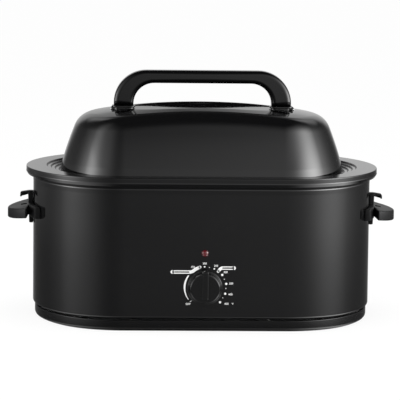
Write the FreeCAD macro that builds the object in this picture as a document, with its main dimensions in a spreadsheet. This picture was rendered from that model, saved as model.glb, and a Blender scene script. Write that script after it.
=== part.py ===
import FreeCAD, Part
import math
import os

import Sketcher
from FreeCAD import Rotation, Vector

# Countertop roaster oven with a lift-off lid. Millimetres, +Z up, front towards -Y.
# Every piece is drawn about the oven's own middle line and placed middle_y behind the
# origin, which is the middle of the footprint (control knob included) on the table.
#
# The walls of the pan, well, shell and tray all follow one plan outline: two straight
# sides, two large end arcs and four corner arcs. An "inset" is a distance inwards from
# the outermost line of the rim, so every wall is a parallel of that outline.

SIZES = [
    ("middle_y", 8.0, "oven's middle line behind the origin"),
    ("rim_half_length", 282.0, "plan outline of the rim"),
    ("rim_half_depth", 205.0, ""),
    ("rim_end_radius", 255.0, ""),
    ("rim_corner_radius", 135.0, ""),
    ("rim_top", 240.0, "height of the flat rim above the table"),
    ("fit_gap", 0.3, "clearance between seated pieces"),
    ("shaft_gap", 0.05, "running clearance of the dial shaft"),
    # roasting pan
    ("pan_sheet", 1.2, "enamelled steel"),
    ("lip_height", 13.5, "rim's down-turned lip"),
    ("lip_lean", 1.5, ""),
    ("lip_top_round", 3.0, ""),
    ("lip_low_round", 3.5, ""),
    ("lip_curl", 6.0, ""),
    ("flat_width", 33.0, "flat of the rim"),
    ("step_width", 5.6, "terraces round the lid"),
    ("step_drop", 2.2, ""),
    ("seat_width", 18.0, "ledge that the lid stands on"),
    ("pan_depth", 153.0, "ledge to cooking floor"),
    ("pan_draft", 6.0, "wall leans in by this much"),
    ("pan_floor_round", 25.0, ""),
    # heating well
    ("well_sheet", 0.8, ""),
    ("well_gap", 8.0, "air gap round the pan's wall"),
    ("well_under_gap", 10.0, "air gap below the pan's floor"),
    ("well_flange", 16.0, "flange on top of the shell"),
    ("well_shoulder", 222.0, "height of the shoulder below the rim"),
    ("well_floor_round", 30.0, ""),
    # outer shell
    ("shell_inset", 12.0, ""),
    ("shell_sheet", 1.0, ""),
    ("shell_flare", 1.5, "top of the wall spreads by this much"),
    ("flare_height", 15.0, ""),
    ("seam_height", 17.0, "top of the base tray"),
    ("tuck_in", 4.5, "shell's lower edge curls in by this much"),
    ("tuck_round", 4.0, ""),
    # base tray
    ("tray_inset", 15.2, ""),
    ("tray_wall", 3.0, ""),
    ("tray_bottom", 1.5, "clear of the table, the feet carry the oven"),
    ("tray_floor", 4.5, "underside of the floor"),
    ("tray_floor_thick", 3.0, ""),
    ("tray_round", 5.0, ""),
    ("vent_length", 44.0, "slots in the tray"),
    ("vent_width", 5.0, ""),
    ("vent_pitch", 16.0, ""),
    ("foot_radius", 12.0, ""),
    ("foot_taper", 1.5, ""),
    ("foot_stem_radius", 4.0, ""),
    ("foot_x", 185.0, ""),
    ("foot_y", 112.0, ""),
    # heater, blanket, shield and studs
    ("heater_thick", 3.0, ""),
    ("heater_low", 128.0, ""),
    ("heater_width", 25.0, ""),
    ("heater_split", 14.0, "gap in the band at the back"),
    ("terminal_x", 20.0, ""),
    ("terminal_radius", 2.5, ""),
    ("terminal_length", 11.0, ""),
    ("blanket_thick", 14.0, ""),
    ("blanket_low", 76.0, ""),
    ("blanket_height", 138.0, ""),
    ("window_half_width", 46.0, "opening in the blanket behind the dial"),
    ("window_height", 86.0, ""),
    ("shield_inset", 30.0, ""),
    ("shield_height", 32.0, ""),
    ("shield_sheet", 0.8, ""),
    ("shield_skirt", 9.0, ""),
    ("stud_x", 110.0, ""),
    ("stud_radius", 2.5, ""),
    ("stud_plate_radius", 12.0, ""),
    ("stud_plate_thick", 1.5, ""),
    ("nut_radius", 4.6, "across corners, halved"),
    ("nut_height", 2.4, ""),
    # dial, thermostat and lamp
    ("dial_height", 69.5, ""),
    ("knob_gap", 3.0, "knob's back off the shell"),
    ("skirt_radius", 27.0, ""),
    ("skirt_thick", 3.0, ""),
    ("knob_radius", 24.5, ""),
    ("knob_taper", 1.5, ""),
    ("knob_length", 12.0, ""),
    ("grip_width", 9.6, ""),
    ("grip_length", 9.0, "grip bar stands this far off the knob's face"),
    ("grip_low", 15.0, ""),
    ("shaft_radius", 3.0, ""),
    ("bushing_radius", 5.0, ""),
    ("case_half", 17.0, "thermostat case, half its width"),
    ("case_depth", 18.0, ""),
    ("bracket_sheet", 1.0, ""),
    ("bracket_half_width", 15.0, ""),
    ("bracket_tab", 14.0, ""),
    ("bracket_shelf", 104.0, "height of the bracket's level part"),
    ("lamp_height", 122.9, ""),
    ("lens_radius", 5.4, ""),
    ("lens_flange", 1.2, ""),
    ("lens_dome", 3.6, ""),
    ("lamp_hole", 4.2, ""),
    ("lamp_body_length", 16.0, ""),
    # cord gland
    ("gland_x", 130.0, ""),
    ("gland_height", 48.0, ""),
    ("gland_radius", 8.0, ""),
    ("gland_flange", 11.5, ""),
    ("gland_flange_thick", 3.5, ""),
    ("gland_bore", 4.2, ""),
    # side handles
    ("strap_low", 146.5, "upright that carries the hook"),
    ("strap_top", 197.5, ""),
    ("strap_thick", 8.0, ""),
    ("strap_half_width", 12.0, ""),
    ("hook_reach", 22.5, ""),
    ("hook_thick", 6.0, ""),
    ("hook_lip", 4.0, ""),
    ("hook_lip_thick", 3.4, ""),
    ("pad_thick", 8.0, "block against the wall"),
    ("pad_half_length", 79.0, ""),
    ("pad_low", 160.5, ""),
    ("pad_height", 18.5, ""),
    ("paddle_reach", 43.5, "grip's tip off the wall"),
    ("paddle_corner_reach", 14.5, ""),
    ("paddle_half_length", 62.0, ""),
    ("paddle_top", 176.5, ""),
    ("paddle_low", 160.5, ""),
    ("paddle_droop", 5.5, ""),
    ("notch_gap", 1.6, "width left at the root of the notch"),
    ("rest_slot_length", 10.0, ""),
    ("rest_slot_width", 12.0, ""),
    ("rest_slot_depth", 7.0, ""),
    ("side_screw_y", 45.0, ""),
    ("side_screw_radius", 2.0, ""),
    # lid
    ("lid_sheet", 1.0, ""),
    ("lid_inset", 57.5, ""),
    ("lid_band", 16.0, "upright band at the lid's edge"),
    ("lid_band_lean", 0.6, ""),
    ("lid_wall_lean", 31.8, "wall leans in by this much over its full height"),
    ("lid_core", 58.0, ""),
    ("lid_crown", 336.5, "top of the crown"),
    ("crown_radius", 1100.0, ""),
    ("shoulder_round", 34.0, ""),
    ("band_round", 40.0, ""),
    ("dish_floor", 329.8, "finger recess under the handle"),
    ("dish_half_length", 138.0, ""),
    ("dish_half_width", 76.0, ""),
    ("crown_clear", 30.0, "room above the crown that is cut away"),
    # lid handle
    ("handle_half_span", 142.0, ""),
    ("handle_top", 392.5, ""),
    ("handle_leg", 31.5, ""),
    ("handle_depth", 30.0, ""),
    ("handle_foot_top", 335.5, ""),
    ("foot_block_low", 322.0, ""),
    ("foot_block_grow", 1.2, ""),
    ("foot_block_round", 9.0, ""),
    ("pin_height", 331.2, ""),
    ("pin_radius", 1.6, ""),
    ("pin_length", 12.0, ""),
    ("pin_head_radius", 3.5, ""),
    ("pin_collar", 1.6, ""),
    ("lid_screw_radius", 2.4, ""),
    ("lid_screw_head", 5.5, ""),
    ("lid_screw_head_height", 2.4, ""),
    ("lid_screw_clear", 1.4, "head hangs this far below the crown's inside"),
    # rack
    ("rack_lift", 12.0, "wires above the pan's floor"),
    ("rack_frame_radius", 2.5, ""),
    ("rack_wire_radius", 1.6, ""),
    ("rack_leg_radius", 2.0, ""),
    ("rack_bail_half", 45.0, ""),
    ("rack_bail_height", 60.0, ""),
    ("rack_bail_round", 9.0, ""),
    ("rack_bail_radius", 2.0, ""),
]
STEP_COUNT = 4
VENT_COUNT = 7
RACK_WIRES = 11
GRIP_SHARE = 0.3561
OUTER_SHARE = 0.9123
INNER_SHARE = 0.5789
EDGE_SHARE = 0.394
SCREW_SHARE = 0.7
END_WIRE = 0.88
LEG_SHARE = 0.9
CASE_SCREW_SHARE = 0.7
HEAD_SHARE = 1.9
PIN_SHARE = 0.27
TOLERANCE = 0.01
FRAME_EDGES = ["Edge%d" % (index + 1) for index in range(9)]


class Size:
    """A length together with the sheet expression that gives it."""

    def __init__(self, value, text):
        self.value = value
        self.text = text

    def __add__(self, other):
        other = as_size(other)
        return Size(self.value + other.value, "(%s + %s)" % (self.text, other.text))

    def __sub__(self, other):
        other = as_size(other)
        return Size(self.value - other.value, "(%s - %s)" % (self.text, other.text))

    def __mul__(self, other):
        other = as_size(other)
        return Size(self.value * other.value, "%s * %s" % (self.text, other.text))

    def __neg__(self):
        return Size(-self.value, "(0 - %s)" % self.text)


def as_size(value):
    return value if isinstance(value, Size) else Size(float(value), "%.6g" % value)


def root_of(size):
    return Size(math.sqrt(size.value), "sqrt(%s)" % size.text)


def make_sheet(doc):
    """The driving dimensions: one named cell each, with its note beside it."""
    sheet = doc.addObject("Spreadsheet::Sheet", "Sizes")
    sizes = {}
    for row, (name, value, note) in enumerate(SIZES, start=1):
        sheet.set("A%d" % row, name)
        sheet.set("B%d" % row, str(value))
        sheet.set("C%d" % row, note)
        sheet.setAlias("B%d" % row, name)
        sizes[name] = Size(value, "Sizes." + name)
    doc.recompute()
    return sizes


doc = FreeCAD.newDocument("Roaster")
S = make_sheet(doc)
SUB_PARTS = []


# ---------------------------------------------------------------- shared helpers


def bind(obj, prop, size):
    """Sets a property to a size and ties it to the sheet."""
    obj.setExpression(prop, as_size(size).text)


def place(obj, x=0, y=0, z=0):
    """Ties an object's position to the sheet."""
    for axis, size in (("x", x), ("y", y), ("z", z)):
        bind(obj, "Placement.Base." + axis, size)


def finish(obj, label):
    """Names a finished sub-part and puts it on the oven's middle line."""
    obj.Label = label
    place(obj, 0, S["middle_y"], 0)
    SUB_PARTS.append(obj)
    return obj


def new_body(name):
    return doc.addObject("PartDesign::Body", name)


def origin_plane(body, role):
    for feature in body.Origin.OriginFeatures:
        if feature.Role == role:
            return feature
    raise ValueError("no plane " + role)


def new_sketch(body, name, role="XY_Plane", offset=0):
    """A sketch on one of the body's own planes, moved along the plane's normal."""
    sketch = body.newObject("Sketcher::SketchObject", name)
    sketch.AttachmentSupport = (origin_plane(body, role), "")
    sketch.MapMode = "FlatFace"
    bind(sketch, "AttachmentOffset.Base.z", offset)
    return sketch


def constrain(sketch, kind, *arguments):
    """Adds a dimension; the last argument is the size it is tied to."""
    size = as_size(arguments[-1])
    index = sketch.addConstraint(Sketcher.Constraint(kind, *arguments[:-1], size.value))
    sketch.setExpression("Constraints[%d]" % index, size.text)


def arc(x, y, radius, start, end):
    circle = Part.Circle(Vector(x, y, 0), Vector(0, 0, 1), radius)
    return Part.ArcOfCircle(circle, start, end)


def outline(sketch, inset):
    """The plan outline at an inset: side, corner, end, corner, side and back again,
    every joint tangent. It starts at the middle of the front side."""
    inset = as_size(inset)
    half_depth = S["rim_half_depth"] - inset
    end = S["rim_end_radius"] - inset
    corner = S["rim_corner_radius"] - inset
    end_x = S["rim_half_length"] - S["rim_end_radius"]
    rise = half_depth.value - corner.value
    reach = end.value - corner.value
    corner_x = end_x.value + math.sqrt(reach * reach - rise * rise)
    lean = math.atan2(rise, corner_x - end_x.value)
    ex, r_end, r_cor, y = end_x.value, end.value, corner.value, half_depth.value
    pi = math.pi
    sketch.addGeometry(
        [
            Part.LineSegment(Vector(0, -y, 0), Vector(corner_x, -y, 0)),
            arc(corner_x, -rise, r_cor, 1.5 * pi, 2 * pi - lean),
            arc(ex, 0, r_end, -lean, lean),
            arc(corner_x, rise, r_cor, lean, pi / 2),
            Part.LineSegment(Vector(corner_x, y, 0), Vector(-corner_x, y, 0)),
            arc(-corner_x, rise, r_cor, pi / 2, pi - lean),
            arc(-ex, 0, r_end, pi - lean, pi + lean),
            arc(-corner_x, -rise, r_cor, pi + lean, 1.5 * pi),
            Part.LineSegment(Vector(-corner_x, -y, 0), Vector(0, -y, 0)),
        ],
        False,
    )
    links = [Sketcher.Constraint("Tangent", i, 2, i + 1, 1) for i in range(8)]
    links += [
        Sketcher.Constraint("Coincident", 8, 2, 0, 1),
        Sketcher.Constraint("PointOnObject", 0, 1, -2),
        Sketcher.Constraint("Horizontal", 0),
        Sketcher.Constraint("Horizontal", 4),
        Sketcher.Constraint("Horizontal", 8),
        Sketcher.Constraint("Equal", 1, 3),
        Sketcher.Constraint("Equal", 3, 5),
        Sketcher.Constraint("Equal", 5, 7),
        Sketcher.Constraint("Equal", 2, 6),
        Sketcher.Constraint("PointOnObject", 2, 3, -1),
        Sketcher.Constraint("PointOnObject", 6, 3, -1),
    ]
    sketch.addConstraint(links)
    constrain(sketch, "Radius", 2, end)
    constrain(sketch, "Radius", 1, corner)
    constrain(sketch, "DistanceX", -1, 1, 2, 3, end_x)
    constrain(sketch, "DistanceX", 6, 3, -1, 1, end_x)
    constrain(sketch, "DistanceY", -1, 1, 4, 1, half_depth)
    constrain(sketch, "DistanceY", 0, 1, -1, 1, half_depth)
    return sketch


def polygon(sketch, corners):
    """A closed outline through corners (x, y, radius): each side is held by two fixed
    construction points, and a corner with a radius becomes a tangent arc."""
    count = len(corners)
    points = [Vector(as_size(x).value, as_size(y).value, 0) for x, y, _ in corners]
    radii = [as_size(radius).value for _, _, radius in corners]
    starts, ends, arcs = [], [], []
    for i in range(count):
        before = (points[i - 1] - points[i]).normalize()
        after = (points[(i + 1) % count] - points[i]).normalize()
        if radii[i] == 0:
            ends.append(points[i])
            starts.append(points[i])
            arcs.append(None)
            continue
        half = before.getAngle(after) / 2
        back = radii[i] / math.tan(half)
        middle = points[i] + (before + after).normalize() * (radii[i] / math.sin(half))
        first = points[i] + before * back
        last = points[i] + after * back
        knee = middle + (points[i] - middle).normalize() * radii[i]
        ends.append(first)
        starts.append(last)
        arcs.append(Part.Arc(first, knee, last))
    guides = sketch.addGeometry([Part.Point(point) for point in points], True)
    for guide, (x, y, _) in zip(guides, corners):
        for kind, axis, size in (("DistanceX", -2, x), ("DistanceY", -1, y)):
            if as_size(size).value == 0:
                sketch.addConstraint(Sketcher.Constraint("PointOnObject", guide, 1, axis))
            else:
                constrain(sketch, kind, -1, 1, guide, 1, size)
    sides = []
    for i in range(count):
        side = Part.LineSegment(starts[i], ends[(i + 1) % count])
        sides.append(sketch.addGeometry(side, False))
    for i in range(count):
        into, out = sides[i - 1], sides[i]
        if arcs[i] is None:
            sketch.addConstraint(Sketcher.Constraint("Coincident", into, 2, guides[i], 1))
            sketch.addConstraint(Sketcher.Constraint("Coincident", out, 1, guides[i], 1))
            continue
        bend = sketch.addGeometry(arcs[i], False)
        sketch.addConstraint(Sketcher.Constraint("PointOnObject", guides[i], 1, into))
        sketch.addConstraint(Sketcher.Constraint("PointOnObject", guides[i], 1, out))
        bend_start = sketch.getPoint(bend, 1)
        near, far = (1, 2) if bend_start.distanceToPoint(ends[i]) < 1e-6 else (2, 1)
        sketch.addConstraint(Sketcher.Constraint("Tangent", into, 2, bend, near))
        sketch.addConstraint(Sketcher.Constraint("Tangent", bend, far, out, 1))
        constrain(sketch, "Radius", bend, corners[i][2])
    return sketch


def circle(sketch, x, y, radius):
    """A circle whose middle and radius are tied to the sheet."""
    x, y, radius = as_size(x), as_size(y), as_size(radius)
    round_edge = Part.Circle(Vector(x.value, y.value, 0), Vector(0, 0, 1), radius.value)
    index = sketch.addGeometry(round_edge, False)
    for kind, axis, size in (("DistanceX", -2, x), ("DistanceY", -1, y)):
        if size.value == 0:
            sketch.addConstraint(Sketcher.Constraint("PointOnObject", index, 3, axis))
        else:
            constrain(sketch, kind, -1, 1, index, 3, size)
    constrain(sketch, "Radius", index, radius)
    return sketch


def box_corners(x_low, x_high, y_low, y_high, radius=0):
    return [
        (x_low, y_low, radius),
        (x_high, y_low, radius),
        (x_high, y_high, radius),
        (x_low, y_high, radius),
    ]


def pad(body, sketch, length, both=False, back=False, draft=None):
    feature = body.newObject("PartDesign::Pad", sketch.Name + "_pad")
    feature.Profile = sketch
    bind(feature, "Length", length)
    feature.Midplane = both
    feature.Reversed = back
    if draft is not None:
        bind(feature, "TaperAngle", draft)
    return feature


def pocket(body, sketch, length, both=False, back=False):
    feature = body.newObject("PartDesign::Pocket", sketch.Name + "_pocket")
    feature.Profile = sketch
    bind(feature, "Length", length)
    feature.Midplane = both
    feature.Reversed = back
    return feature


def sweep_wall(body, name, corners):
    """Carries a wall section once round the plan outline. The section's corners are
    (inset, height, radius)."""
    spine = outline(new_sketch(body, name + "_path"), 0)
    section = new_sketch(body, name + "_section", "YZ_Plane")
    polygon(section, [(as_size(i) - S["rim_half_depth"], z, r) for i, z, r in corners])
    feature = body.newObject("PartDesign::AdditivePipe", name + "_wall")
    feature.Profile = section
    feature.Spine = (spine, FRAME_EDGES)
    return feature


def slab(body, name, inset, low, thick):
    """A level plate with the plan outline."""
    return pad(body, outline(new_sketch(body, name, offset=low), inset), thick)


def revolve(body, sketch, axis, cut=False):
    kind = "PartDesign::Groove" if cut else "PartDesign::Revolution"
    feature = body.newObject(kind, sketch.Name + "_turned")
    feature.Profile = sketch
    feature.ReferenceAxis = (sketch, [axis])
    feature.Angle = 360
    return feature


def round_edges(body, base, radius, wanted):
    """Fillets the edges of a feature that a test picks out."""
    doc.recompute()
    names = []
    for index, edge in enumerate(base.Shape.Edges, start=1):
        if wanted(edge):
            names.append("Edge%d" % index)
    feature = body.newObject("PartDesign::Fillet", base.Name + "_round")
    feature.Base = (base, names)
    bind(feature, "Radius", radius)
    return feature


def cylinder(name, radius, height, x=0, y=0, z=0, axis=(0, 0, 1)):
    """A round bar that starts at a point and runs along an axis."""
    bar = doc.addObject("Part::Cylinder", name)
    bind(bar, "Radius", radius)
    bind(bar, "Height", height)
    bar.Placement.Rotation = Rotation(Vector(0, 0, 1), Vector(*axis))
    place(bar, x, y, z)
    return bar


def joined(name, pieces):
    fused = doc.addObject("Part::MultiFuse", name)
    fused.Shapes = pieces
    fused.Refine = False
    return fused


def group(label, pieces):
    """Identical fasteners in one sub-part, each its own solid."""
    together = doc.addObject("Part::Compound", label)
    together.Links = pieces
    return finish(together, label)


# ---------------------------------------------------------------- derived levels

FLAT_UNDER = S["rim_top"] - S["pan_sheet"]
SEAT = S["rim_top"] - S["step_drop"] * STEP_COUNT
SEAT_INSET = S["flat_width"] + S["step_width"] * (STEP_COUNT - 1)
PAN_WALL = SEAT_INSET + S["seat_width"]
PAN_FLOOR = SEAT - S["pan_depth"]
WELL_TOP = FLAT_UNDER - S["fit_gap"]
WELL_WALL = PAN_WALL - S["well_gap"]
WELL_FLOOR = PAN_FLOOR - S["pan_sheet"] - S["well_under_gap"]
WELL_OUTER = WELL_WALL - S["well_sheet"]
SHELL_TOP = WELL_TOP - S["well_sheet"]
FRONT_WALL = S["shell_inset"] - S["rim_half_depth"]
BACK_WALL = S["rim_half_depth"] - S["shell_inset"]
SIDE_WALL = S["rim_half_length"] - S["shell_inset"]
END_X = S["rim_half_length"] - S["rim_end_radius"]
HEATER_INSET = WELL_OUTER - S["fit_gap"] - S["heater_thick"]
TRAY_FLOOR_TOP = S["tray_floor"] + S["tray_floor_thick"]
HANDLE_RISE = S["handle_top"] - S["handle_foot_top"]
HANDLE_GRIP = HANDLE_RISE * GRIP_SHARE
CORNER_REACH = S["rim_end_radius"] - S["rim_corner_radius"]
CORNER_RISE = S["rim_half_depth"] - S["rim_corner_radius"]
CORNER_X = END_X + root_of(CORNER_REACH * CORNER_REACH - CORNER_RISE * CORNER_RISE)
RACK_INSET = PAN_WALL + S["pan_draft"] + S["pan_floor_round"] + S["rack_frame_radius"] * 2
RACK_LEVEL = PAN_FLOOR + S["rack_lift"]
RACK_END = S["rim_end_radius"] - RACK_INSET
END_WIRE_X = END_X + RACK_END * END_WIRE
WIRE_LEVEL = RACK_LEVEL + S["rack_frame_radius"] + S["fit_gap"] + S["rack_wire_radius"]
PIN_FACE = S["handle_half_span"] + S["foot_block_grow"] + S["shaft_gap"]
PIN_START = PIN_FACE - S["pin_length"]
SCREW_RADIUS = S["rim_end_radius"] - S["shell_inset"] - S["shell_sheet"]
SCREW_REACH = root_of(SCREW_RADIUS * SCREW_RADIUS - S["side_screw_y"] * S["side_screw_y"])
SCREW_START = END_X + SCREW_REACH - S["fit_gap"] * 5
CORNERS = [(sx, sy) for sx in (-1, 1) for sy in (-1, 1)]


# ---------------------------------------------------------------- housing


def outer_shell():
    """Painted steel wall: flared under the rim, curled in over the base tray."""
    body = new_body("outer_shell")
    out, sheet = S["shell_inset"], S["shell_sheet"]
    spread, start = S["shell_flare"], SHELL_TOP - S["flare_height"]
    foot = S["seam_height"] + S["fit_gap"]
    middle = SHELL_TOP - S["flare_height"] * 0.5
    tuck = out + S["tuck_in"]
    sweep_wall(
        body,
        "shell",
        [
            (tuck, foot, 0),
            (out, foot, S["tuck_round"]),
            (out, start, 8),
            (out - spread, middle, 8),
            (out - spread, SHELL_TOP, 0),
            (out - spread + sheet, SHELL_TOP, 0),
            (out - spread + sheet, middle, 8),
            (out + sheet, start, 8),
            (out + sheet, foot + sheet, S["tuck_round"] - sheet),
            (tuck, foot + sheet, 0),
        ],
    )
    front = new_sketch(body, "front_holes", "XZ_Plane")
    circle(front, 0, S["dial_height"], S["bushing_radius"] + S["fit_gap"])
    circle(front, 0, S["lamp_height"], S["lamp_hole"] + S["fit_gap"])
    for side in (-1, 1):
        hole = S["side_screw_radius"] + S["fit_gap"]
        circle(front, S["case_half"] * (CASE_SCREW_SHARE * side), S["dial_height"], hole)
    pocket(body, front, S["rim_half_depth"], back=True)
    back = new_sketch(body, "gland_hole", "XZ_Plane")
    circle(back, S["gland_x"], S["gland_height"], S["gland_radius"] + S["fit_gap"])
    pocket(body, back, S["rim_half_depth"])
    sides = new_sketch(body, "side_holes", "YZ_Plane")
    middle_z = S["pad_low"] + S["pad_height"] * 0.5
    for side in (-1, 1):
        hole = S["side_screw_radius"] + S["fit_gap"]
        circle(sides, S["side_screw_y"] * side, middle_z, hole)
    pocket(body, sides, S["rim_half_length"] * 2, both=True)
    return finish(body, "outer_shell")


def base_tray():
    """Moulded tray that closes the underside: rounded ring, floor, vent slots."""
    body = new_body("base_tray")
    out, wall = S["tray_inset"], S["tray_wall"]
    inner = out + wall
    lap = inner + 1
    floor_top = TRAY_FLOOR_TOP
    sweep_wall(
        body,
        "tray",
        [
            (out, S["seam_height"], 1),
            (out, S["tray_bottom"], S["tray_round"]),
            (out + S["tray_round"] + wall, S["tray_bottom"], 1),
            (out + S["tray_round"] + wall, S["tray_floor"], 0),
            (out + S["tray_round"] + wall + 1, S["tray_floor"], 0),
            (out + S["tray_round"] + wall + 1, floor_top, 0),
            (lap, floor_top, 1),
            (lap, S["seam_height"], 1),
        ],
    )
    slab(body, "tray_floor", out + S["tray_round"] + wall, S["tray_floor"], S["tray_floor_thick"])
    cuts = new_sketch(body, "tray_cuts")
    for index in range(VENT_COUNT):
        x = S["vent_pitch"] * (index - (VENT_COUNT - 1) / 2)
        half = S["vent_width"] * 0.5
        for side in (-1, 1):
            near, far = S["vent_width"] * (2 * side), S["vent_length"] * side
            low, high = (near, far) if side > 0 else (far, near)
            polygon(cuts, box_corners(x - half, x + half, low, high))
    for sx, sy in CORNERS:
        hole = S["foot_stem_radius"] + S["fit_gap"]
        circle(cuts, S["foot_x"] * sx, S["foot_y"] * sy, hole)
    for side in (-1, 1):
        circle(cuts, S["stud_x"] * side, 0, S["stud_radius"] + S["fit_gap"])
    pocket(body, cuts, S["seam_height"], back=True)
    return finish(body, "base_tray")


def feet():
    """Four rubber feet, each with a stem pushed up through the tray's floor."""
    pieces = []
    for index, (sx, sy) in enumerate(CORNERS):
        x, y = S["foot_x"] * sx, S["foot_y"] * sy
        cone = doc.addObject("Part::Cone", "foot_cone%d" % index)
        bind(cone, "Radius1", S["foot_radius"] - S["foot_taper"])
        bind(cone, "Radius2", S["foot_radius"])
        bind(cone, "Height", S["tray_floor"])
        place(cone, x, y, 0)
        stem = cylinder("foot_stem%d" % index, S["foot_stem_radius"], TRAY_FLOOR_TOP + 2, x, y)
        pieces.append(joined("foot%d" % index, [cone, stem]))
    return group("feet", pieces)


def heating_well():
    """Deep steel well that the pan hangs in: flange, shoulder, wall and floor."""
    body = new_body("heating_well")
    sheet, flange = S["well_sheet"], S["well_flange"]
    edge = S["shell_inset"] - S["shell_flare"]
    inner = edge + flange
    shoulder = S["well_shoulder"]
    wall, low = WELL_WALL, WELL_FLOOR
    stub = wall + S["well_floor_round"] + 8
    sweep_wall(
        body,
        "well",
        [
            (edge, WELL_TOP, 0),
            (inner, WELL_TOP, 2),
            (inner, shoulder, 3),
            (wall, shoulder, 3),
            (wall, low, S["well_floor_round"]),
            (stub, low, 0),
            (stub, low - sheet, 0),
            (wall - sheet, low - sheet, S["well_floor_round"] + sheet),
            (wall - sheet, shoulder - sheet, 3 - sheet.value),
            (inner - sheet, shoulder - sheet, 3 + sheet.value),
            (inner - sheet, WELL_TOP - sheet, 2 - sheet.value),
            (edge, WELL_TOP - sheet, 0),
        ],
    )
    slab(body, "well_floor", stub - 1, low - sheet, sheet)
    return finish(body, "heating_well")


def heater_band():
    """Flat resistance band round the well, split at the back."""
    body = new_body("heater_band")
    slab(body, "band", HEATER_INSET, S["heater_low"], S["heater_width"])
    hollow = outline(new_sketch(body, "band_hollow", offset=S["heater_low"]), WELL_OUTER - S["fit_gap"])
    pocket(body, hollow, S["heater_width"], back=True)
    split = new_sketch(body, "band_split", offset=S["heater_low"])
    half = S["heater_split"] * 0.5
    polygon(split, box_corners(-half, half, S["rim_half_depth"] * 0.5, S["rim_half_depth"]))
    pocket(body, split, S["heater_width"], back=True)
    return finish(body, "heater_band")


def heater_terminals():
    """Two threaded posts that bring the supply to the band."""
    face = HEATER_INSET - S["rim_half_depth"]
    height = S["heater_low"] + S["heater_width"] * 0.5
    posts = []
    for side in (-1, 1):
        name = "terminal%d" % (side + 1)
        x = S["terminal_x"] * side
        post = cylinder(name, S["terminal_radius"], S["terminal_length"], x, face, height, (0, -1, 0))
        nut = doc.addObject("Part::Prism", name + "_nut")
        nut.Polygon = 6
        bind(nut, "Circumradius", S["nut_radius"])
        bind(nut, "Height", S["nut_height"])
        nut.Placement.Rotation = Rotation(Vector(0, 0, 1), Vector(0, -1, 0))
        place(nut, x, face, height)
        posts.append(joined(name + "_set", [post, nut]))
    return group("heater_terminals", posts)


def insulation_blanket():
    """Glass-fibre wrap between the well and the shell, open behind the dial."""
    body = new_body("insulation_blanket")
    inner = HEATER_INSET - S["fit_gap"]
    slab(body, "wrap", inner - S["blanket_thick"], S["blanket_low"], S["blanket_height"])
    hollow = outline(new_sketch(body, "wrap_hollow", offset=S["blanket_low"]), inner)
    pocket(body, hollow, S["blanket_height"], back=True)
    window = new_sketch(body, "wrap_window", offset=S["blanket_low"])
    half = S["window_half_width"]
    polygon(window, box_corners(-half, half, -S["rim_half_depth"], -S["rim_half_depth"] * 0.5))
    pocket(body, window, S["window_height"], back=True)
    return finish(body, "insulation_blanket")


def heat_shield():
    """Bright plate below the well, its skirt turned down."""
    body = new_body("heat_shield")
    sheet, skirt = S["shield_sheet"], S["shield_skirt"]
    low = S["shield_height"] - skirt
    slab(body, "shield", S["shield_inset"], low, skirt + sheet)
    hollow = outline(new_sketch(body, "shield_hollow", offset=low), S["shield_inset"] + sheet)
    pocket(body, hollow, skirt, back=True)
    holes = new_sketch(body, "shield_holes", offset=low)
    for side in (-1, 1):
        circle(holes, S["stud_x"] * side, 0, S["stud_radius"] + S["fit_gap"])
    pocket(body, holes, skirt * 2, back=True)
    return finish(body, "heat_shield")


def tie_studs():
    """Two studs welded under the well; they draw well, shield and tray together."""
    studs = []
    under = WELL_FLOOR - S["well_sheet"]
    low = S["tray_floor"] - S["nut_height"]
    for side in (-1, 1):
        name = "stud%d" % (side + 1)
        x = S["stud_x"] * side
        rod = cylinder(name, S["stud_radius"], under - low, x, 0, low)
        top = under - S["stud_plate_thick"]
        weld = cylinder(name + "_plate", S["stud_plate_radius"], S["stud_plate_thick"], x, 0, top)
        studs.append(joined(name + "_set", [rod, weld]))
    return group("tie_studs", studs)


def tie_nuts():
    """Hexagon nuts on the studs: one under the tray, two gripping the shield."""
    shield = S["shield_height"]
    levels = [
        S["tray_floor"] - S["nut_height"],
        shield - S["nut_height"],
        shield + S["shield_sheet"],
    ]
    nuts = []
    for side in (-1, 1):
        for index, level in enumerate(levels):
            name = "nut%d_%d" % (side + 1, index)
            x = S["stud_x"] * side
            hexagon = doc.addObject("Part::Prism", name + "_hexagon")
            hexagon.Polygon = 6
            bind(hexagon, "Circumradius", S["nut_radius"])
            bind(hexagon, "Height", S["nut_height"])
            place(hexagon, x, 0, level)
            clear = S["stud_radius"] + S["shaft_gap"]
            bore = cylinder(name + "_bore", clear, S["nut_height"], x, 0, level)
            nut = doc.addObject("Part::Cut", name)
            nut.Base = hexagon
            nut.Tool = bore
            nuts.append(nut)
    return group("tie_nuts", nuts)


# ---------------------------------------------------------------- controls


def thermostat_case():
    """Switch case behind the front wall, with the bushing that guides the shaft."""
    body = new_body("thermostat_case")
    half = S["case_half"]
    face = FRONT_WALL + S["shell_sheet"] + S["fit_gap"]
    z = S["dial_height"]
    case = new_sketch(body, "case", "XZ_Plane", offset=-face)
    polygon(case, box_corners(-half, half, z - half, z + half, 3))
    pad(body, case, S["case_depth"], back=True)
    nose = new_sketch(body, "nose", "XZ_Plane", offset=-face)
    circle(nose, 0, z, S["bushing_radius"])
    pad(body, nose, S["shell_sheet"] + S["fit_gap"] * 2)
    bore = new_sketch(body, "bore", "XZ_Plane", offset=-face + S["knob_gap"])
    circle(bore, 0, z, S["shaft_radius"] + S["shaft_gap"])
    pocket(body, bore, S["knob_gap"] + S["case_depth"] * 0.7)
    screws = new_sketch(body, "case_screw_holes", "XZ_Plane", offset=-face)
    for side in (-1, 1):
        circle(screws, half * (CASE_SCREW_SHARE * side), z, S["side_screw_radius"] + S["shaft_gap"])
    pocket(body, screws, S["case_depth"] * 0.5)
    return finish(body, "thermostat_case")


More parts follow.
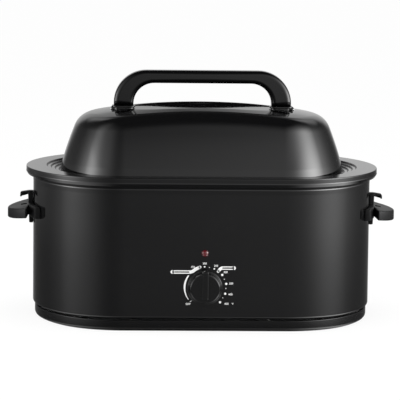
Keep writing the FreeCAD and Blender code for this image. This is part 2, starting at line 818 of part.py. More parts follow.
def thermostat_screws():
    """Two flat-headed screws that hold the case to the shell, under the knob."""
    screws = []
    for side in (-1, 1):
        name = "case_screw%d" % (side + 1)
        x, z = S["case_half"] * (CASE_SCREW_SHARE * side), S["dial_height"]
        length = S["shell_sheet"] + S["case_depth"] * 0.5
        shank = cylinder(name, S["side_screw_radius"], length, x, FRONT_WALL, z, (0, 1, 0))
        wide = S["side_screw_radius"] * HEAD_SHARE
        head = cylinder(name + "_head", wide, 1.2, x, FRONT_WALL, z, (0, -1, 0))
        screws.append(joined(name + "_set", [shank, head]))
    return group("thermostat_screws", screws)


def thermostat_bracket():
    """Bent strip that ties the case to the well and carries its heat across."""
    body = new_body("thermostat_bracket")
    sheet = S["bracket_sheet"]
    well = WELL_OUTER - S["rim_half_depth"] - S["fit_gap"]
    case = FRONT_WALL + S["shell_sheet"] + S["case_depth"] + S["fit_gap"] * 2
    shelf = S["bracket_shelf"]
    low = S["dial_height"] - S["case_half"]
    strip = new_sketch(body, "strip", "YZ_Plane")
    polygon(
        strip,
        [
            (case, low, 0),
            (case + sheet, low, 0),
            (case + sheet, shelf - sheet, 0),
            (well, shelf - sheet, 0),
            (well, shelf + S["bracket_tab"], 0),
            (well - sheet, shelf + S["bracket_tab"], 0),
            (well - sheet, shelf, 0),
            (case, shelf, 0),
        ],
    )
    pad(body, strip, S["bracket_half_width"] * 2, both=True)
    return finish(body, "thermostat_bracket")


def thermostat_shaft():
    """Dial shaft, from inside the case to the middle of the knob."""
    inner = FRONT_WALL + S["shell_sheet"] + S["case_depth"] * 0.6
    length = S["shell_sheet"] + S["case_depth"] * 0.6 + S["knob_gap"] + S["knob_length"]
    shaft = cylinder("thermostat_shaft", S["shaft_radius"], length, 0, 0, 0, (0, -1, 0))
    finish(shaft, "thermostat_shaft")
    place(shaft, 0, S["middle_y"] + inner, S["dial_height"])
    return shaft


def control_knob():
    """Knob with a thin skirt, a tapered barrel and a grip bar that points to the dial."""
    body = new_body("control_knob")
    back = FRONT_WALL - S["knob_gap"]
    front_of_skirt = back - S["skirt_thick"]
    face = front_of_skirt - S["knob_length"]
    z = S["dial_height"]
    half = new_sketch(body, "knob_half", "YZ_Plane")
    polygon(
        half,
        [
            (back, z, 0),
            (back, z + S["skirt_radius"], 0.6),
            (front_of_skirt, z + S["skirt_radius"], 1.2),
            (front_of_skirt, z + S["knob_radius"], 0),
            (face, z + S["knob_radius"] - S["knob_taper"], 2),
            (face, z, 0),
        ],
    )
    centre = half.addGeometry(
        Part.LineSegment(Vector(back.value, z.value, 0), Vector(face.value, z.value, 0)), True
    )
    half.addConstraint(Sketcher.Constraint("Coincident", centre, 1, 0, 1))
    half.addConstraint(Sketcher.Constraint("Coincident", centre, 2, 5, 1))
    revolve(body, half, "Axis0")
    bar = new_sketch(body, "grip_bar", "XZ_Plane", offset=-front_of_skirt)
    half_width = S["grip_width"] * 0.5
    corners = box_corners(-half_width, half_width, z - S["grip_low"], z + S["skirt_radius"] + 1, 2)
    polygon(bar, corners)
    block = pad(body, bar, S["knob_length"] + S["grip_length"])
    tip = (face - S["grip_length"]).value
    round_edges(body, block, 1.5, lambda edge: on_level(edge, "y", tip))
    bore = new_sketch(body, "knob_bore", "XZ_Plane", offset=-back)
    circle(bore, 0, z, S["shaft_radius"] + S["shaft_gap"])
    pocket(body, bore, S["knob_length"] + S["fit_gap"], back=True)
    return finish(body, "control_knob")


def on_level(edge, axis, level):
    """True for an edge that lies wholly in the plane axis = level."""
    box = edge.BoundBox
    low, high = getattr(box, axis.upper() + "Min"), getattr(box, axis.upper() + "Max")
    return abs(low - level) < TOLERANCE and abs(high - level) < TOLERANCE


def indicator_lens():
    """Domed red lens, its neck through the wall."""
    body = new_body("indicator_lens")
    z, wall = S["lamp_height"], FRONT_WALL
    half = new_sketch(body, "lens_half", "YZ_Plane")
    neck = wall + S["shell_sheet"] + 3
    flange = wall - S["lens_flange"]
    polygon(
        half,
        [
            (neck, z, 0),
            (neck, z + S["lamp_hole"], 0),
            (wall - S["shaft_gap"], z + S["lamp_hole"], 0),
            (wall - S["shaft_gap"], z + S["lens_radius"], 0),
            (flange, z + S["lens_radius"], 0.5),
            (flange - S["lens_dome"], z + S["lens_radius"] * 0.55, 2.0),
            (flange - S["lens_dome"], z, 0),
        ],
    )
    start = Vector(neck.value, z.value, 0)
    end = Vector((flange - S["lens_dome"]).value, z.value, 0)
    centre = half.addGeometry(Part.LineSegment(start, end), True)
    half.addConstraint(Sketcher.Constraint("Coincident", centre, 1, 0, 1))
    half.addConstraint(Sketcher.Constraint("Coincident", centre, 2, 6, 1))
    revolve(body, half, "Axis0")
    return finish(body, "indicator_lens")


def lamp_holder():
    """Neon lamp's sleeve, pushed on behind the lens."""
    body = new_body("lamp_holder")
    z = S["lamp_height"]
    back = FRONT_WALL + S["shell_sheet"]
    sleeve = new_sketch(body, "sleeve", "XZ_Plane", offset=-(back + S["fit_gap"]))
    circle(sleeve, 0, z, S["lens_radius"] + 0.6)
    pad(body, sleeve, S["lamp_body_length"], back=True)
    socket = new_sketch(body, "sleeve_bore", "XZ_Plane", offset=-back)
    circle(socket, 0, z, S["lamp_hole"] + S["shaft_gap"])
    pocket(body, socket, S["lens_dome"] + 1)
    return finish(body, "lamp_holder")


def cord_gland():
    """Bushing in the back wall that the supply lead would pass through."""
    body = new_body("cord_gland")
    x, z, wall = S["gland_x"], S["gland_height"], BACK_WALL
    flange = new_sketch(body, "gland_flange", "XZ_Plane", offset=-(wall + S["shaft_gap"]))
    circle(flange, x, z, S["gland_flange"])
    pad(body, flange, S["gland_flange_thick"], back=True)
    neck = new_sketch(body, "gland_neck", "XZ_Plane", offset=-(wall + S["shaft_gap"]))
    circle(neck, x, z, S["gland_radius"])
    pad(body, neck, S["gland_flange_thick"] * 2)
    bore = new_sketch(body, "gland_bore", "XZ_Plane", offset=0)
    circle(bore, x, z, S["gland_bore"])
    pocket(body, bore, S["rim_half_depth"] * 2, both=True)
    return finish(body, "cord_gland")


# ---------------------------------------------------------------- side handles


def side_handles():
    """One moulding a side: block against the wall, drooping grip, hook for the lid."""
    body = new_body("right_handle")
    wall = SIDE_WALL + S["fit_gap"]
    grip = new_sketch(body, "paddle", offset=S["paddle_low"] - S["paddle_droop"])
    paddle_outline(grip, wall)
    rise = S["paddle_top"] - S["paddle_low"] + S["paddle_droop"]
    pad(body, grip, rise)
    cut_droop(body, wall)
    strap = new_sketch(body, "strap", "XZ_Plane")
    thick, reach = S["strap_thick"], S["hook_reach"]
    top, under = S["strap_top"], S["strap_top"] - S["hook_thick"]
    polygon(
        strap,
        [
            (wall, S["strap_low"], 1),
            (wall + thick, S["strap_low"], 1),
            (wall + thick, under, 3),
            (wall + reach - S["hook_lip_thick"], under, 1),
            (wall + reach - S["hook_lip_thick"], under - S["hook_lip"], 1),
            (wall + reach, under - S["hook_lip"], 1),
            (wall + reach, top, 4),
            (wall, top, 1),
        ],
    )
    pad(body, strap, S["strap_half_width"] * 2, both=True)
    block = new_sketch(body, "wall_block", offset=S["pad_low"])
    block_outline(block)
    pad(body, block, S["pad_height"])
    slot = new_sketch(body, "rest_slot", offset=S["paddle_top"])
    near = wall + thick + 3
    half = S["rest_slot_width"] * 0.5
    polygon(slot, box_corners(near, near + S["rest_slot_length"], -half, half))
    pocket(body, slot, S["rest_slot_depth"])
    holes = new_sketch(body, "block_holes", "YZ_Plane")
    for side in (-1, 1):
        middle_z = S["pad_low"] + S["pad_height"] * 0.5
        circle(holes, S["side_screw_y"] * side, middle_z, S["side_screw_radius"] + S["shaft_gap"])
    pocket(body, holes, SCREW_START + S["pad_thick"] + S["fit_gap"], back=True)
    right = finish(body, "right_handle")
    left = doc.addObject("Part::Mirroring", "left_handle")
    left.Source = right
    left.Normal = Vector(1, 0, 0)
    left.Label = "left_handle"
    SUB_PARTS.append(left)


def paddle_outline(sketch, wall):
    """Crescent: one arc outside, two straight inner edges that meet the strap."""
    tip = wall + S["paddle_reach"]
    corner = wall + S["paddle_corner_reach"]
    root = wall + S["strap_thick"] + S["notch_gap"]
    half, strap = S["paddle_half_length"], S["strap_half_width"]
    low = Vector(corner.value, -half.value, 0)
    high = Vector(corner.value, half.value, 0)
    inner = [
        (corner, half),
        (root, strap),
        (wall + 1, strap),
        (wall + 1, -strap),
        (root, -strap),
        (corner, -half),
    ]
    bow = sketch.addGeometry(Part.Arc(low, Vector(tip.value, 0, 0), high), False)
    sides = []
    for (x1, y1), (x2, y2) in zip(inner[:-1], inner[1:]):
        first, last = Vector(x1.value, y1.value, 0), Vector(x2.value, y2.value, 0)
        sides.append(sketch.addGeometry(Part.LineSegment(first, last), False))
    for (x, y), side in zip(inner[:-1], sides):
        constrain(sketch, "DistanceX", -1, 1, side, 1, x)
        constrain(sketch, "DistanceY", -1, 1, side, 1, y)
    constrain(sketch, "DistanceX", -1, 1, sides[-1], 2, corner)
    constrain(sketch, "DistanceY", -1, 1, sides[-1], 2, -half)
    for into, out in zip(sides[:-1], sides[1:]):
        sketch.addConstraint(Sketcher.Constraint("Coincident", into, 2, out, 1))
    sketch.addConstraint(Sketcher.Constraint("Coincident", bow, 2, sides[0], 1))
    sketch.addConstraint(Sketcher.Constraint("Coincident", bow, 1, sides[-1], 2))
    summit = sketch.addGeometry(Part.Point(Vector(tip.value, 0, 0)), True)
    sketch.addConstraint(Sketcher.Constraint("PointOnObject", summit, 1, -1))
    sketch.addConstraint(Sketcher.Constraint("PointOnObject", summit, 1, bow))
    constrain(sketch, "DistanceX", -1, 1, summit, 1, tip)


def cut_droop(body, wall):
    """Slopes the grip's top and underside down towards its tip."""
    start, end = wall + S["strap_thick"], wall + S["paddle_reach"] + 1
    top, low, droop = S["paddle_top"], S["paddle_low"], S["paddle_droop"]
    above = new_sketch(body, "above", "XZ_Plane")
    polygon(above, [(start, top, 0), (end, top - droop, 0), (end, top + 1, 0), (start, top + 1, 0)])
    pocket(body, above, S["paddle_half_length"] * 2 + 2, both=True)
    below = new_sketch(body, "below", "XZ_Plane")
    under = low - droop
    polygon(
        below,
        [(wall, low, 0), (wall, under - 1, 0), (end, under - 1, 0), (end, under, 0), (start, low, 0)],
    )
    pocket(body, below, S["paddle_half_length"] * 2 + 2, both=True)


def block_outline(sketch):
    """Strip that hugs the end wall: two arcs about the wall's own centre."""
    inner = S["rim_end_radius"] - S["shell_inset"] + S["fit_gap"]
    outer = inner + S["pad_thick"]
    half = S["pad_half_length"]
    centre = END_X.value
    lean_in = math.asin(half.value / inner.value)
    lean_out = math.asin(half.value / outer.value)
    arcs = sketch.addGeometry(
        [
            arc(centre, 0, inner.value, -lean_in, lean_in),
            arc(centre, 0, outer.value, -lean_out, lean_out),
        ],
        False,
    )
    ends = []
    for side, point in ((-1, 1), (1, 2)):
        first = Vector(centre + inner.value * math.cos(lean_in), side * half.value, 0)
        last = Vector(centre + outer.value * math.cos(lean_out), side * half.value, 0)
        line = sketch.addGeometry(Part.LineSegment(first, last), False)
        sketch.addConstraint(Sketcher.Constraint("Coincident", line, 1, arcs[0], point))
        sketch.addConstraint(Sketcher.Constraint("Coincident", line, 2, arcs[1], point))
        sketch.addConstraint(Sketcher.Constraint("Horizontal", line))
        ends.append(line)
    for index in arcs:
        sketch.addConstraint(Sketcher.Constraint("PointOnObject", index, 3, -1))
        constrain(sketch, "DistanceX", -1, 1, index, 3, END_X)
    constrain(sketch, "Radius", arcs[0], inner)
    constrain(sketch, "Radius", arcs[1], outer)
    constrain(sketch, "DistanceY", ends[0], 1, -1, 1, half)
    constrain(sketch, "DistanceY", -1, 1, ends[1], 1, half)


def side_screws():
    """Two screws a side, driven from inside the shell into the handle's block."""
    screws = []
    z = S["pad_low"] + S["pad_height"] * 0.5
    y, inside, length = S["side_screw_y"], SCREW_START, S["pad_thick"]
    for sx, sy in CORNERS:
        name = "side_screw%d%d" % (sx + 1, sy + 1)
        shank = cylinder(name, S["side_screw_radius"], length, inside * sx, y * sy, z, (sx, 0, 0))
        head = cylinder(
            name + "_head", S["side_screw_radius"] * 2, 1.8, inside * sx, y * sy, z, (-sx, 0, 0)
        )
        screws.append(joined(name + "_set", [shank, head]))
    return group("side_screws", screws)


# ---------------------------------------------------------------- pan and rack


def roasting_pan():
    """Lift-out pan: leaning lip, flat rim, terraces down to the lid's ledge, bowl."""
    body = new_body("roasting_pan")
    sheet, lean, curl = S["pan_sheet"], S["lip_lean"], S["lip_curl"]
    top, low = S["rim_top"], S["rim_top"] - S["lip_height"]
    upper = [(curl, low + sheet, 0), (curl, low, 0), (0, low, S["lip_low_round"])]
    upper.append((lean, top, S["lip_top_round"]))
    under = [(sheet, low + sheet, S["lip_low_round"] - sheet)]
    under.append((lean + sheet, top - sheet, S["lip_top_round"] - sheet))
    for index in range(STEP_COUNT):
        inset = S["flat_width"] + S["step_width"] * index
        high = top - S["step_drop"] * index
        deep = high - S["step_drop"]
        upper += [(inset, high, 0), (inset, deep, 0)]
        under += [(inset - sheet, high - sheet, 0), (inset - sheet, deep - sheet, 0)]
    wall, floor = PAN_WALL, PAN_FLOOR
    foot = wall + S["pan_draft"]
    stub = foot + S["pan_floor_round"] + 6
    upper += [(wall + sheet, SEAT, 2), (foot + sheet, floor, S["pan_floor_round"]), (stub, floor, 0)]
    under += [(wall, SEAT - sheet, 2), (foot, floor - sheet, S["pan_floor_round"] + sheet)]
    under.append((stub, floor - sheet, 0))
    sweep_wall(body, "pan", upper + under[::-1])
    slab(body, "pan_floor", stub - 1, floor - sheet, sheet)
    return finish(body, "roasting_pan")


def roasting_rack():
    """Plated frame wire parallel to the pan's wall, on four short legs."""
    body = new_body("rack_frame")
    radius = S["rack_frame_radius"]
    spine = outline(new_sketch(body, "frame_path", offset=RACK_LEVEL), RACK_INSET)
    section = new_sketch(body, "frame_section", "YZ_Plane")
    circle(section, RACK_INSET - S["rim_half_depth"], RACK_LEVEL, radius)
    feature = body.newObject("PartDesign::AdditivePipe", "frame_wire")
    feature.Profile = section
    feature.Spine = (spine, FRAME_EDGES)
    pieces = [body]
    half_depth = S["rim_half_depth"] - RACK_INSET
    height = S["rack_lift"] - S["fit_gap"]
    for sx, sy in CORNERS:
        x, y = CORNER_X * LEG_SHARE * sx, half_depth * sy
        name = "leg%d%d" % (sx + 1, sy + 1)
        pieces.append(cylinder(name, S["rack_leg_radius"], height, x, y, PAN_FLOOR + S["fit_gap"]))
    return finish(joined("roasting_rack", pieces), "roasting_rack")


def rack_wires():
    """Cross wires that lie on the frame, and one more at each rounded end."""
    wires = []
    radius = S["rack_wire_radius"]
    half_depth = S["rim_half_depth"] - RACK_INSET
    for index in range(RACK_WIRES):
        x = CORNER_X * (2 * index / (RACK_WIRES - 1) - 1)
        name = "wire%d" % index
        wires.append(cylinder(name, radius, half_depth * 2, x, -half_depth, WIRE_LEVEL, (0, 1, 0)))
    reach = RACK_END * math.sqrt(1 - END_WIRE * END_WIRE)
    for side in (-1, 1):
        name, x = "end_wire%d" % (side + 1), END_WIRE_X * side
        wires.append(cylinder(name, radius, reach * 2, x, -reach, WIRE_LEVEL, (0, 1, 0)))
    return group("rack_wires", wires)


def rack_bails():
    """Upright loops that stand on the end wires, to lift the rack by."""
    bails = []
    half, radius = S["rack_bail_half"], S["rack_bail_radius"]
    low = WIRE_LEVEL + S["rack_wire_radius"] + S["shaft_gap"]
    for side in (-1, 1):
        body = new_body("bail%d" % (side + 1))
        path = new_sketch(body, body.Name + "_path", "YZ_Plane", offset=END_WIRE_X * side)
        loop(path, half, low, low + S["rack_bail_height"], S["rack_bail_round"])
        section = new_sketch(body, body.Name + "_section", offset=low)
        circle(section, END_WIRE_X * side, -half, radius)
        feature = body.newObject("PartDesign::AdditivePipe", body.Name + "_wire")
        feature.Profile = section
        feature.Spine = (path, FRAME_EDGES[:5])
        bails.append(body)
    return group("rack_bails", bails)


def loop(sketch, half, low, high, radius):
    """Open line up, across and down again, its two upper corners rounded."""
    left, top = -half.value, high.value
    turn, r = math.pi / 2, radius.value
    start, end = Vector(left, low.value, 0), Vector(half.value, low.value, 0)
    rise = sketch.addGeometry(Part.LineSegment(start, Vector(left, top - r, 0)), False)
    first = sketch.addGeometry(arc(left + r, top - r, r, turn, turn * 2), False)
    bar = Part.LineSegment(Vector(left + r, top, 0), Vector(half.value - r, top, 0))
    across = sketch.addGeometry(bar, False)
    last = sketch.addGeometry(arc(half.value - r, top - r, r, 0, turn), False)
    fall = sketch.addGeometry(Part.LineSegment(Vector(half.value, top - r, 0), end), False)
    sketch.addConstraint(Sketcher.Constraint("Tangent", rise, 2, first, 2))
    sketch.addConstraint(Sketcher.Constraint("Tangent", first, 1, across, 1))
    sketch.addConstraint(Sketcher.Constraint("Tangent", across, 2, last, 2))
    sketch.addConstraint(Sketcher.Constraint("Tangent", last, 1, fall, 1))
    sketch.addConstraint(Sketcher.Constraint("Vertical", rise))
    sketch.addConstraint(Sketcher.Constraint("Vertical", fall))
    sketch.addConstraint(Sketcher.Constraint("Horizontal", across))
    sketch.addConstraint(Sketcher.Constraint("Equal", first, last))
    constrain(sketch, "Radius", first, radius)
    constrain(sketch, "DistanceX", -1, 1, rise, 1, -half)
    constrain(sketch, "DistanceY", -1, 1, rise, 1, low)
    constrain(sketch, "DistanceX", -1, 1, fall, 2, half)
    constrain(sketch, "DistanceY", -1, 1, fall, 2, low)
    constrain(sketch, "DistanceY", -1, 1, across, 1, high)


# ---------------------------------------------------------------- lid


def lid_form(name, sheet):
    """Solid form of the lid: upright band, drafted wall, spherical crown, blended
    shoulder and the finger recess. With a sheet it is the hollow inside the lid."""
    body = new_body(name)
    edge = S["lid_inset"] + sheet
    low, kink, roof = SEAT - sheet, SEAT + S["lid_band"], S["lid_crown"] + 4
    core = edge + S["lid_core"]
    sweep_wall(
        body,
        name,
        [
            (edge, low, 0),
            (edge + S["lid_band_lean"], kink, S["band_round"] - sheet),
            (edge + S["lid_band_lean"] + S["lid_wall_lean"], roof, 0),
            (core, roof, 0),
            (core, low, 0),
        ],
    )
    slab(body, name + "_core", core - 5, low, roof - low)
    dish = new_sketch(body, name + "_dish", offset=S["dish_floor"] - sheet)
    across, along = S["dish_half_width"] + sheet, S["dish_half_length"] + sheet
    polygon(dish, box_corners(-along, along, -across, across, across - 1))
    pocket(body, dish, roof - S["dish_floor"] + sheet, back=True)
    crown = new_sketch(body, name + "_crown", "YZ_Plane")
    crown_region(crown, S["lid_crown"] - sheet, S["rim_half_length"], roof + S["crown_clear"])
    cap = revolve(body, crown, "V_Axis", cut=True)
    above = kink.value + 30
    round_edges(body, cap, S["shoulder_round"] - sheet, lambda edge: is_shoulder(edge, above))
    return body


def is_shoulder(edge, above):
    """True for the edges where the crown meets the drafted wall, outside the dish."""
    box = edge.BoundBox
    level = box.ZMin > above and box.ZMax - box.ZMin < 9 and box.XMax - box.XMin > 5
    clear_y = max(-box.YMin, box.YMax) > S["dish_half_width"].value + 5
    clear_x = max(-box.XMin, box.XMax) > S["dish_half_length"].value + 5
    return level and (clear_x or clear_y)


def crown_region(sketch, top, reach, far):
    """Region between the crown's arc and a level line above or below it, out to a
    reach."""
    radius = S["crown_radius"]
    lean = math.asin(reach.value / radius.value)
    edge_z = top - radius + root_of(radius * radius - reach * reach)
    middle_z = top.value - radius.value
    bow = sketch.addGeometry(arc(0, middle_z, radius.value, math.pi / 2 - lean, math.pi / 2), False)
    corners = [
        Vector(reach.value, edge_z.value, 0),
        Vector(reach.value, far.value, 0),
        Vector(0, far.value, 0),
        Vector(0, top.value, 0),
    ]
    lines = [
        sketch.addGeometry(Part.LineSegment(first, last), False)
        for first, last in zip(corners[:-1], corners[1:])
    ]
    sketch.addConstraint(Sketcher.Constraint("Coincident", bow, 1, lines[0], 1))
    sketch.addConstraint(Sketcher.Constraint("Coincident", lines[0], 2, lines[1], 1))
    sketch.addConstraint(Sketcher.Constraint("Coincident", lines[1], 2, lines[2], 1))
    sketch.addConstraint(Sketcher.Constraint("Coincident", lines[2], 2, bow, 2))
    sketch.addConstraint(Sketcher.Constraint("Vertical", lines[0]))
    sketch.addConstraint(Sketcher.Constraint("Horizontal", lines[1]))
    sketch.addConstraint(Sketcher.Constraint("Vertical", lines[2]))
    sketch.addConstraint(Sketcher.Constraint("PointOnObject", bow, 3, -2))
    sketch.addConstraint(Sketcher.Constraint("PointOnObject", bow, 2, -2))
    constrain(sketch, "Radius", bow, radius)
    constrain(sketch, "DistanceY", -1, 1, bow, 2, top)
    constrain(sketch, "DistanceY", -1, 1, lines[1], 1, far)
    constrain(sketch, "DistanceX", -1, 1, lines[0], 1, reach)


def lid_dome():
    """Steel lid: the outer form less the inner one, drilled for its handle."""
    outer = lid_form("lid_outer", as_size(0))
    inner = lid_form("lid_inner", S["lid_sheet"])
    hollow = doc.addObject("Part::Cut", "lid_hollow")
    hollow.Base = outer
    hollow.Tool = inner
    hollow.Refine = False
    drills = []
    hole, length = S["lid_screw_radius"] + S["fit_gap"], S["lid_crown"] - S["foot_block_low"]
    for side in (-1, 1):
        x, low = leg_middle() * side, S["lid_crown"] - length * 2
        drills.append(cylinder("lid_drill%d" % (side + 1), hole, length * 3, x, 0, low))
    lid = doc.addObject("Part::Cut", "lid_dome")
    lid.Base = hollow
    lid.Tool = joined("lid_drills", drills)
    lid.Refine = False
    return finish(lid, "lid_dome")


def leg_middle():
    return S["handle_half_span"] - S["handle_leg"] * 0.5


def lid_handle():
    """Arched grip bar with two broad legs, its long edges rounded."""
    body = new_body("lid_handle")
    span, inner = S["handle_half_span"], S["handle_half_span"] - S["handle_leg"]
    top, under, foot = S["handle_top"], S["handle_top"] - HANDLE_GRIP, S["handle_foot_top"]
    arch = new_sketch(body, "arch", "XZ_Plane")
    polygon(
        arch,
        [
            (-span, foot, 0),
            (-inner, foot, 0),
            (-inner, under, HANDLE_RISE * INNER_SHARE),
            (inner, under, HANDLE_RISE * INNER_SHARE),
            (inner, foot, 0),
            (span, foot, 0),
            (span, top, HANDLE_RISE * OUTER_SHARE),
            (-span, top, HANDLE_RISE * OUTER_SHARE),
        ],
    )
    bar = pad(body, arch, S["handle_depth"], both=True)
    half, base = S["handle_depth"].value / 2, foot.value

    def long_edge(edge):
        on_face = on_level(edge, "y", half) or on_level(edge, "y", -half)
        return on_face and not on_level(edge, "z", base)

    round_edges(body, bar, HANDLE_GRIP * EDGE_SHARE, long_edge)
    holes = new_sketch(body, "leg_holes", offset=foot)
    for side in (-1, 1):
        circle(holes, leg_middle() * side, 0, S["lid_screw_radius"] + S["shaft_gap"])
    pocket(body, holes, HANDLE_GRIP, back=True)
    return finish(body, "lid_handle")


def handle_feet():
    """A heat-proof foot under each leg, its underside cut to the lid's crown."""
    for side, label in ((-1, "left_handle_foot"), (1, "right_handle_foot")):
        body = new_body(label)
        grow, half = S["foot_block_grow"], S["handle_leg"] * 0.5
        x, across = leg_middle() * side, S["handle_depth"] * 0.5
        foot = new_sketch(body, label + "_plan", offset=S["foot_block_low"])
        across = across + grow
        corners = box_corners(x - half - grow, x + half + grow, -across, across, S["foot_block_round"])
        polygon(foot, corners)
        block = pad(body, foot, S["handle_foot_top"] - S["foot_block_low"] - S["shaft_gap"])
        groove = new_sketch(body, label + "_crown", "YZ_Plane")
        reach, far = S["handle_half_span"] + S["handle_leg"], S["foot_block_low"] - S["handle_leg"]
        crown_region(groove, S["lid_crown"] + S["fit_gap"], reach, far)
        revolve(body, groove, "V_Axis", cut=True)
        holes = new_sketch(body, label + "_hole", offset=S["foot_block_low"])
        circle(holes, x, 0, S["lid_screw_radius"] + S["shaft_gap"])
        pocket(body, holes, S["handle_top"] - S["foot_block_low"], back=True)
        pin = new_sketch(body, label + "_pin_hole", "YZ_Plane")
        circle(pin, S["handle_depth"] * -PIN_SHARE, S["pin_height"], S["pin_radius"] + S["shaft_gap"])
        deep = PIN_START - S["fit_gap"]
        pocket(body, pin, PIN_FACE + 1, back=side > 0)
        bind(pin, "AttachmentOffset.Base.z", deep * side)
        finish(body, label)


def handle_pins():
    """Dome-headed pins, one driven into the outer face of each foot."""
    pins = []
    y, z = S["handle_depth"] * -PIN_SHARE, S["pin_height"]
    head_radius, collar = S["pin_head_radius"], S["pin_collar"]
    for side in (-1, 1):
        name = "pin%d" % (side + 1)
        way = (side, 0, 0)
        rod = cylinder(name, S["pin_radius"], S["pin_length"], PIN_START * side, y, z, way)
        rim = cylinder(name + "_collar", head_radius, collar, PIN_FACE * side, y, z, way)
        dome = doc.addObject("Part::Sphere", name + "_dome")
        bind(dome, "Radius", head_radius)
        dome.Angle1 = 0
        dome.Placement.Rotation = Rotation(Vector(0, 0, 1), Vector(*way))
        place(dome, (PIN_FACE + collar) * side, y, z)
        pins.append(joined(name + "_set", [rod, rim, dome]))
    return group("handle_pins", pins)


def lid_screws():
    """Screws from inside the lid, up through each foot into the handle's leg."""
    screws = []
    radius = S["crown_radius"]
    x = leg_middle()
    inside = S["lid_crown"] - S["lid_sheet"] - radius + root_of(radius * radius - x * x)
    under, head_height = inside - S["lid_screw_clear"], S["lid_screw_head_height"]
    length = S["handle_foot_top"] - under + HANDLE_GRIP * SCREW_SHARE
    for side in (-1, 1):
        name = "lid_screw%d" % (side + 1)
        shank = cylinder(name, S["lid_screw_radius"], length, x * side, 0, under)
        head = cylinder(
            name + "_head", S["lid_screw_head"], head_height, x * side, 0, under - head_height
        )
        screws.append(joined(name + "_set", [shank, head]))
    return group("lid_screws", screws)


# ---------------------------------------------------------------- build and write


def check(obj):
    if "Invalid" in obj.State or "Error" in obj.State:
        raise RuntimeError("%s failed: %s" % (obj.Name, obj.State))


def build():
    outer_shell()
    base_tray()
    feet()
    heating_well()
    heater_band()
    heater_terminals()
    insulation_blanket()
    heat_shield()
    tie_studs()
    tie_nuts()
    thermostat_case()
    thermostat_screws()
    thermostat_bracket()
    thermostat_shaft()
    control_knob()
    indicator_lens()
    lamp_holder()
    cord_gland()
    side_handles()
    side_screws()
    roasting_pan()
    roasting_rack()
    rack_wires()
    rack_bails()
    lid_dome()
    lid_handle()
    handle_feet()
    handle_pins()
    lid_screws()
    doc.recompute()


def write():
    """Checks every object and every sub-part, then writes one STEP file for each."""
    for obj in doc.Objects:
        check(obj)
    for obj in SUB_PARTS:
        if obj.Shape.isNull() or not obj.Shape.isValid():
            raise RuntimeError(obj.Label + " has no valid shape")
    os.makedirs("parts", exist_ok=True)
    for obj in SUB_PARTS:
        obj.Shape.exportStep("parts/%s.step" % obj.Label)
        print("%-20s solids %2d volume %9.0f" % (obj.Label, len(obj.Shape.Solids), obj.Shape.Volume))


build()
write()
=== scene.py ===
import math
from contextlib import contextmanager

import bmesh
import bpy
import numpy as np
from bpy.props import FloatProperty, FloatVectorProperty, PointerProperty
from mathutils import Matrix, Vector


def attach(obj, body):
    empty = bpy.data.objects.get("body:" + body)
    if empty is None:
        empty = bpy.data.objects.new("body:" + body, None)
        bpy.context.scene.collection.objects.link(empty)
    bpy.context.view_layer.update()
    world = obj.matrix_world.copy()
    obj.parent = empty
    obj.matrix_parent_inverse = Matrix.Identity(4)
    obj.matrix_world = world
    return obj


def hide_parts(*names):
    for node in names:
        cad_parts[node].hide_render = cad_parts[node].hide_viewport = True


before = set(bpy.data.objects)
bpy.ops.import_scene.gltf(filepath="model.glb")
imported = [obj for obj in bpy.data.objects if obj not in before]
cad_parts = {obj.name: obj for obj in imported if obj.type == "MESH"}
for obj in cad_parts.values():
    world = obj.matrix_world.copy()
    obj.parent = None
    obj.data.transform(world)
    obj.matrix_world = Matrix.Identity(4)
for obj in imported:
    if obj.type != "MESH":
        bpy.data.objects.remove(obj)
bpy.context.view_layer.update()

MM = 0.001
SHELL_INSET = 12 * MM  # shell's wall inside the rim's outline
GRIP_WALL = 270.3  # millimetres from the middle to the wall that a side grip stands on
BOWL_DEPTH = 153  # millimetres from the lid's ledge down to the pan's floor
PIN_LINE = (0, -8.1 * MM, 331.2 * MM)  # line along X through the handle feet's pins

bl_info = {
    "name": "Roaster Oven",
    "version": (1, 0, 0),
    "blender": (4, 5, 0),
    "location": "View3D > Sidebar > Roaster",
    "description": "Builds the dressed roaster oven round its packed frame",
    "category": "Add Mesh",
}


# ---------------------------------------------------------------- sizes and colours


def length(name, note, value):
    """A distance property, given in millimetres and kept in metres."""
    return FloatProperty(
        name=name, description=note, default=value * MM, unit="LENGTH", subtype="DISTANCE"
    )


def colour(name, note, value):
    """A colour property."""
    return FloatVectorProperty(
        name=name, description=note, default=value, size=3, min=0, max=1, subtype="COLOR"
    )


class RoasterPlan(bpy.types.PropertyGroup):
    """Plan outline that every wall is parallel to."""

    middle_y: length("Middle", "The oven's middle line behind the origin", 8.0)
    half_length: length("Half length", "Rim, middle to end", 282.0)
    half_depth: length("Half depth", "Rim, middle to front", 205.0)
    end_radius: length("End radius", "Large arcs at the ends", 255.0)
    corner_radius: length("Corner radius", "Arcs between sides and ends", 135.0)
    rim_top: length("Rim height", "Flat of the rim above the table", 240.0)
    seat: length("Lid seat", "Ledge that the lid stands on", 231.2)


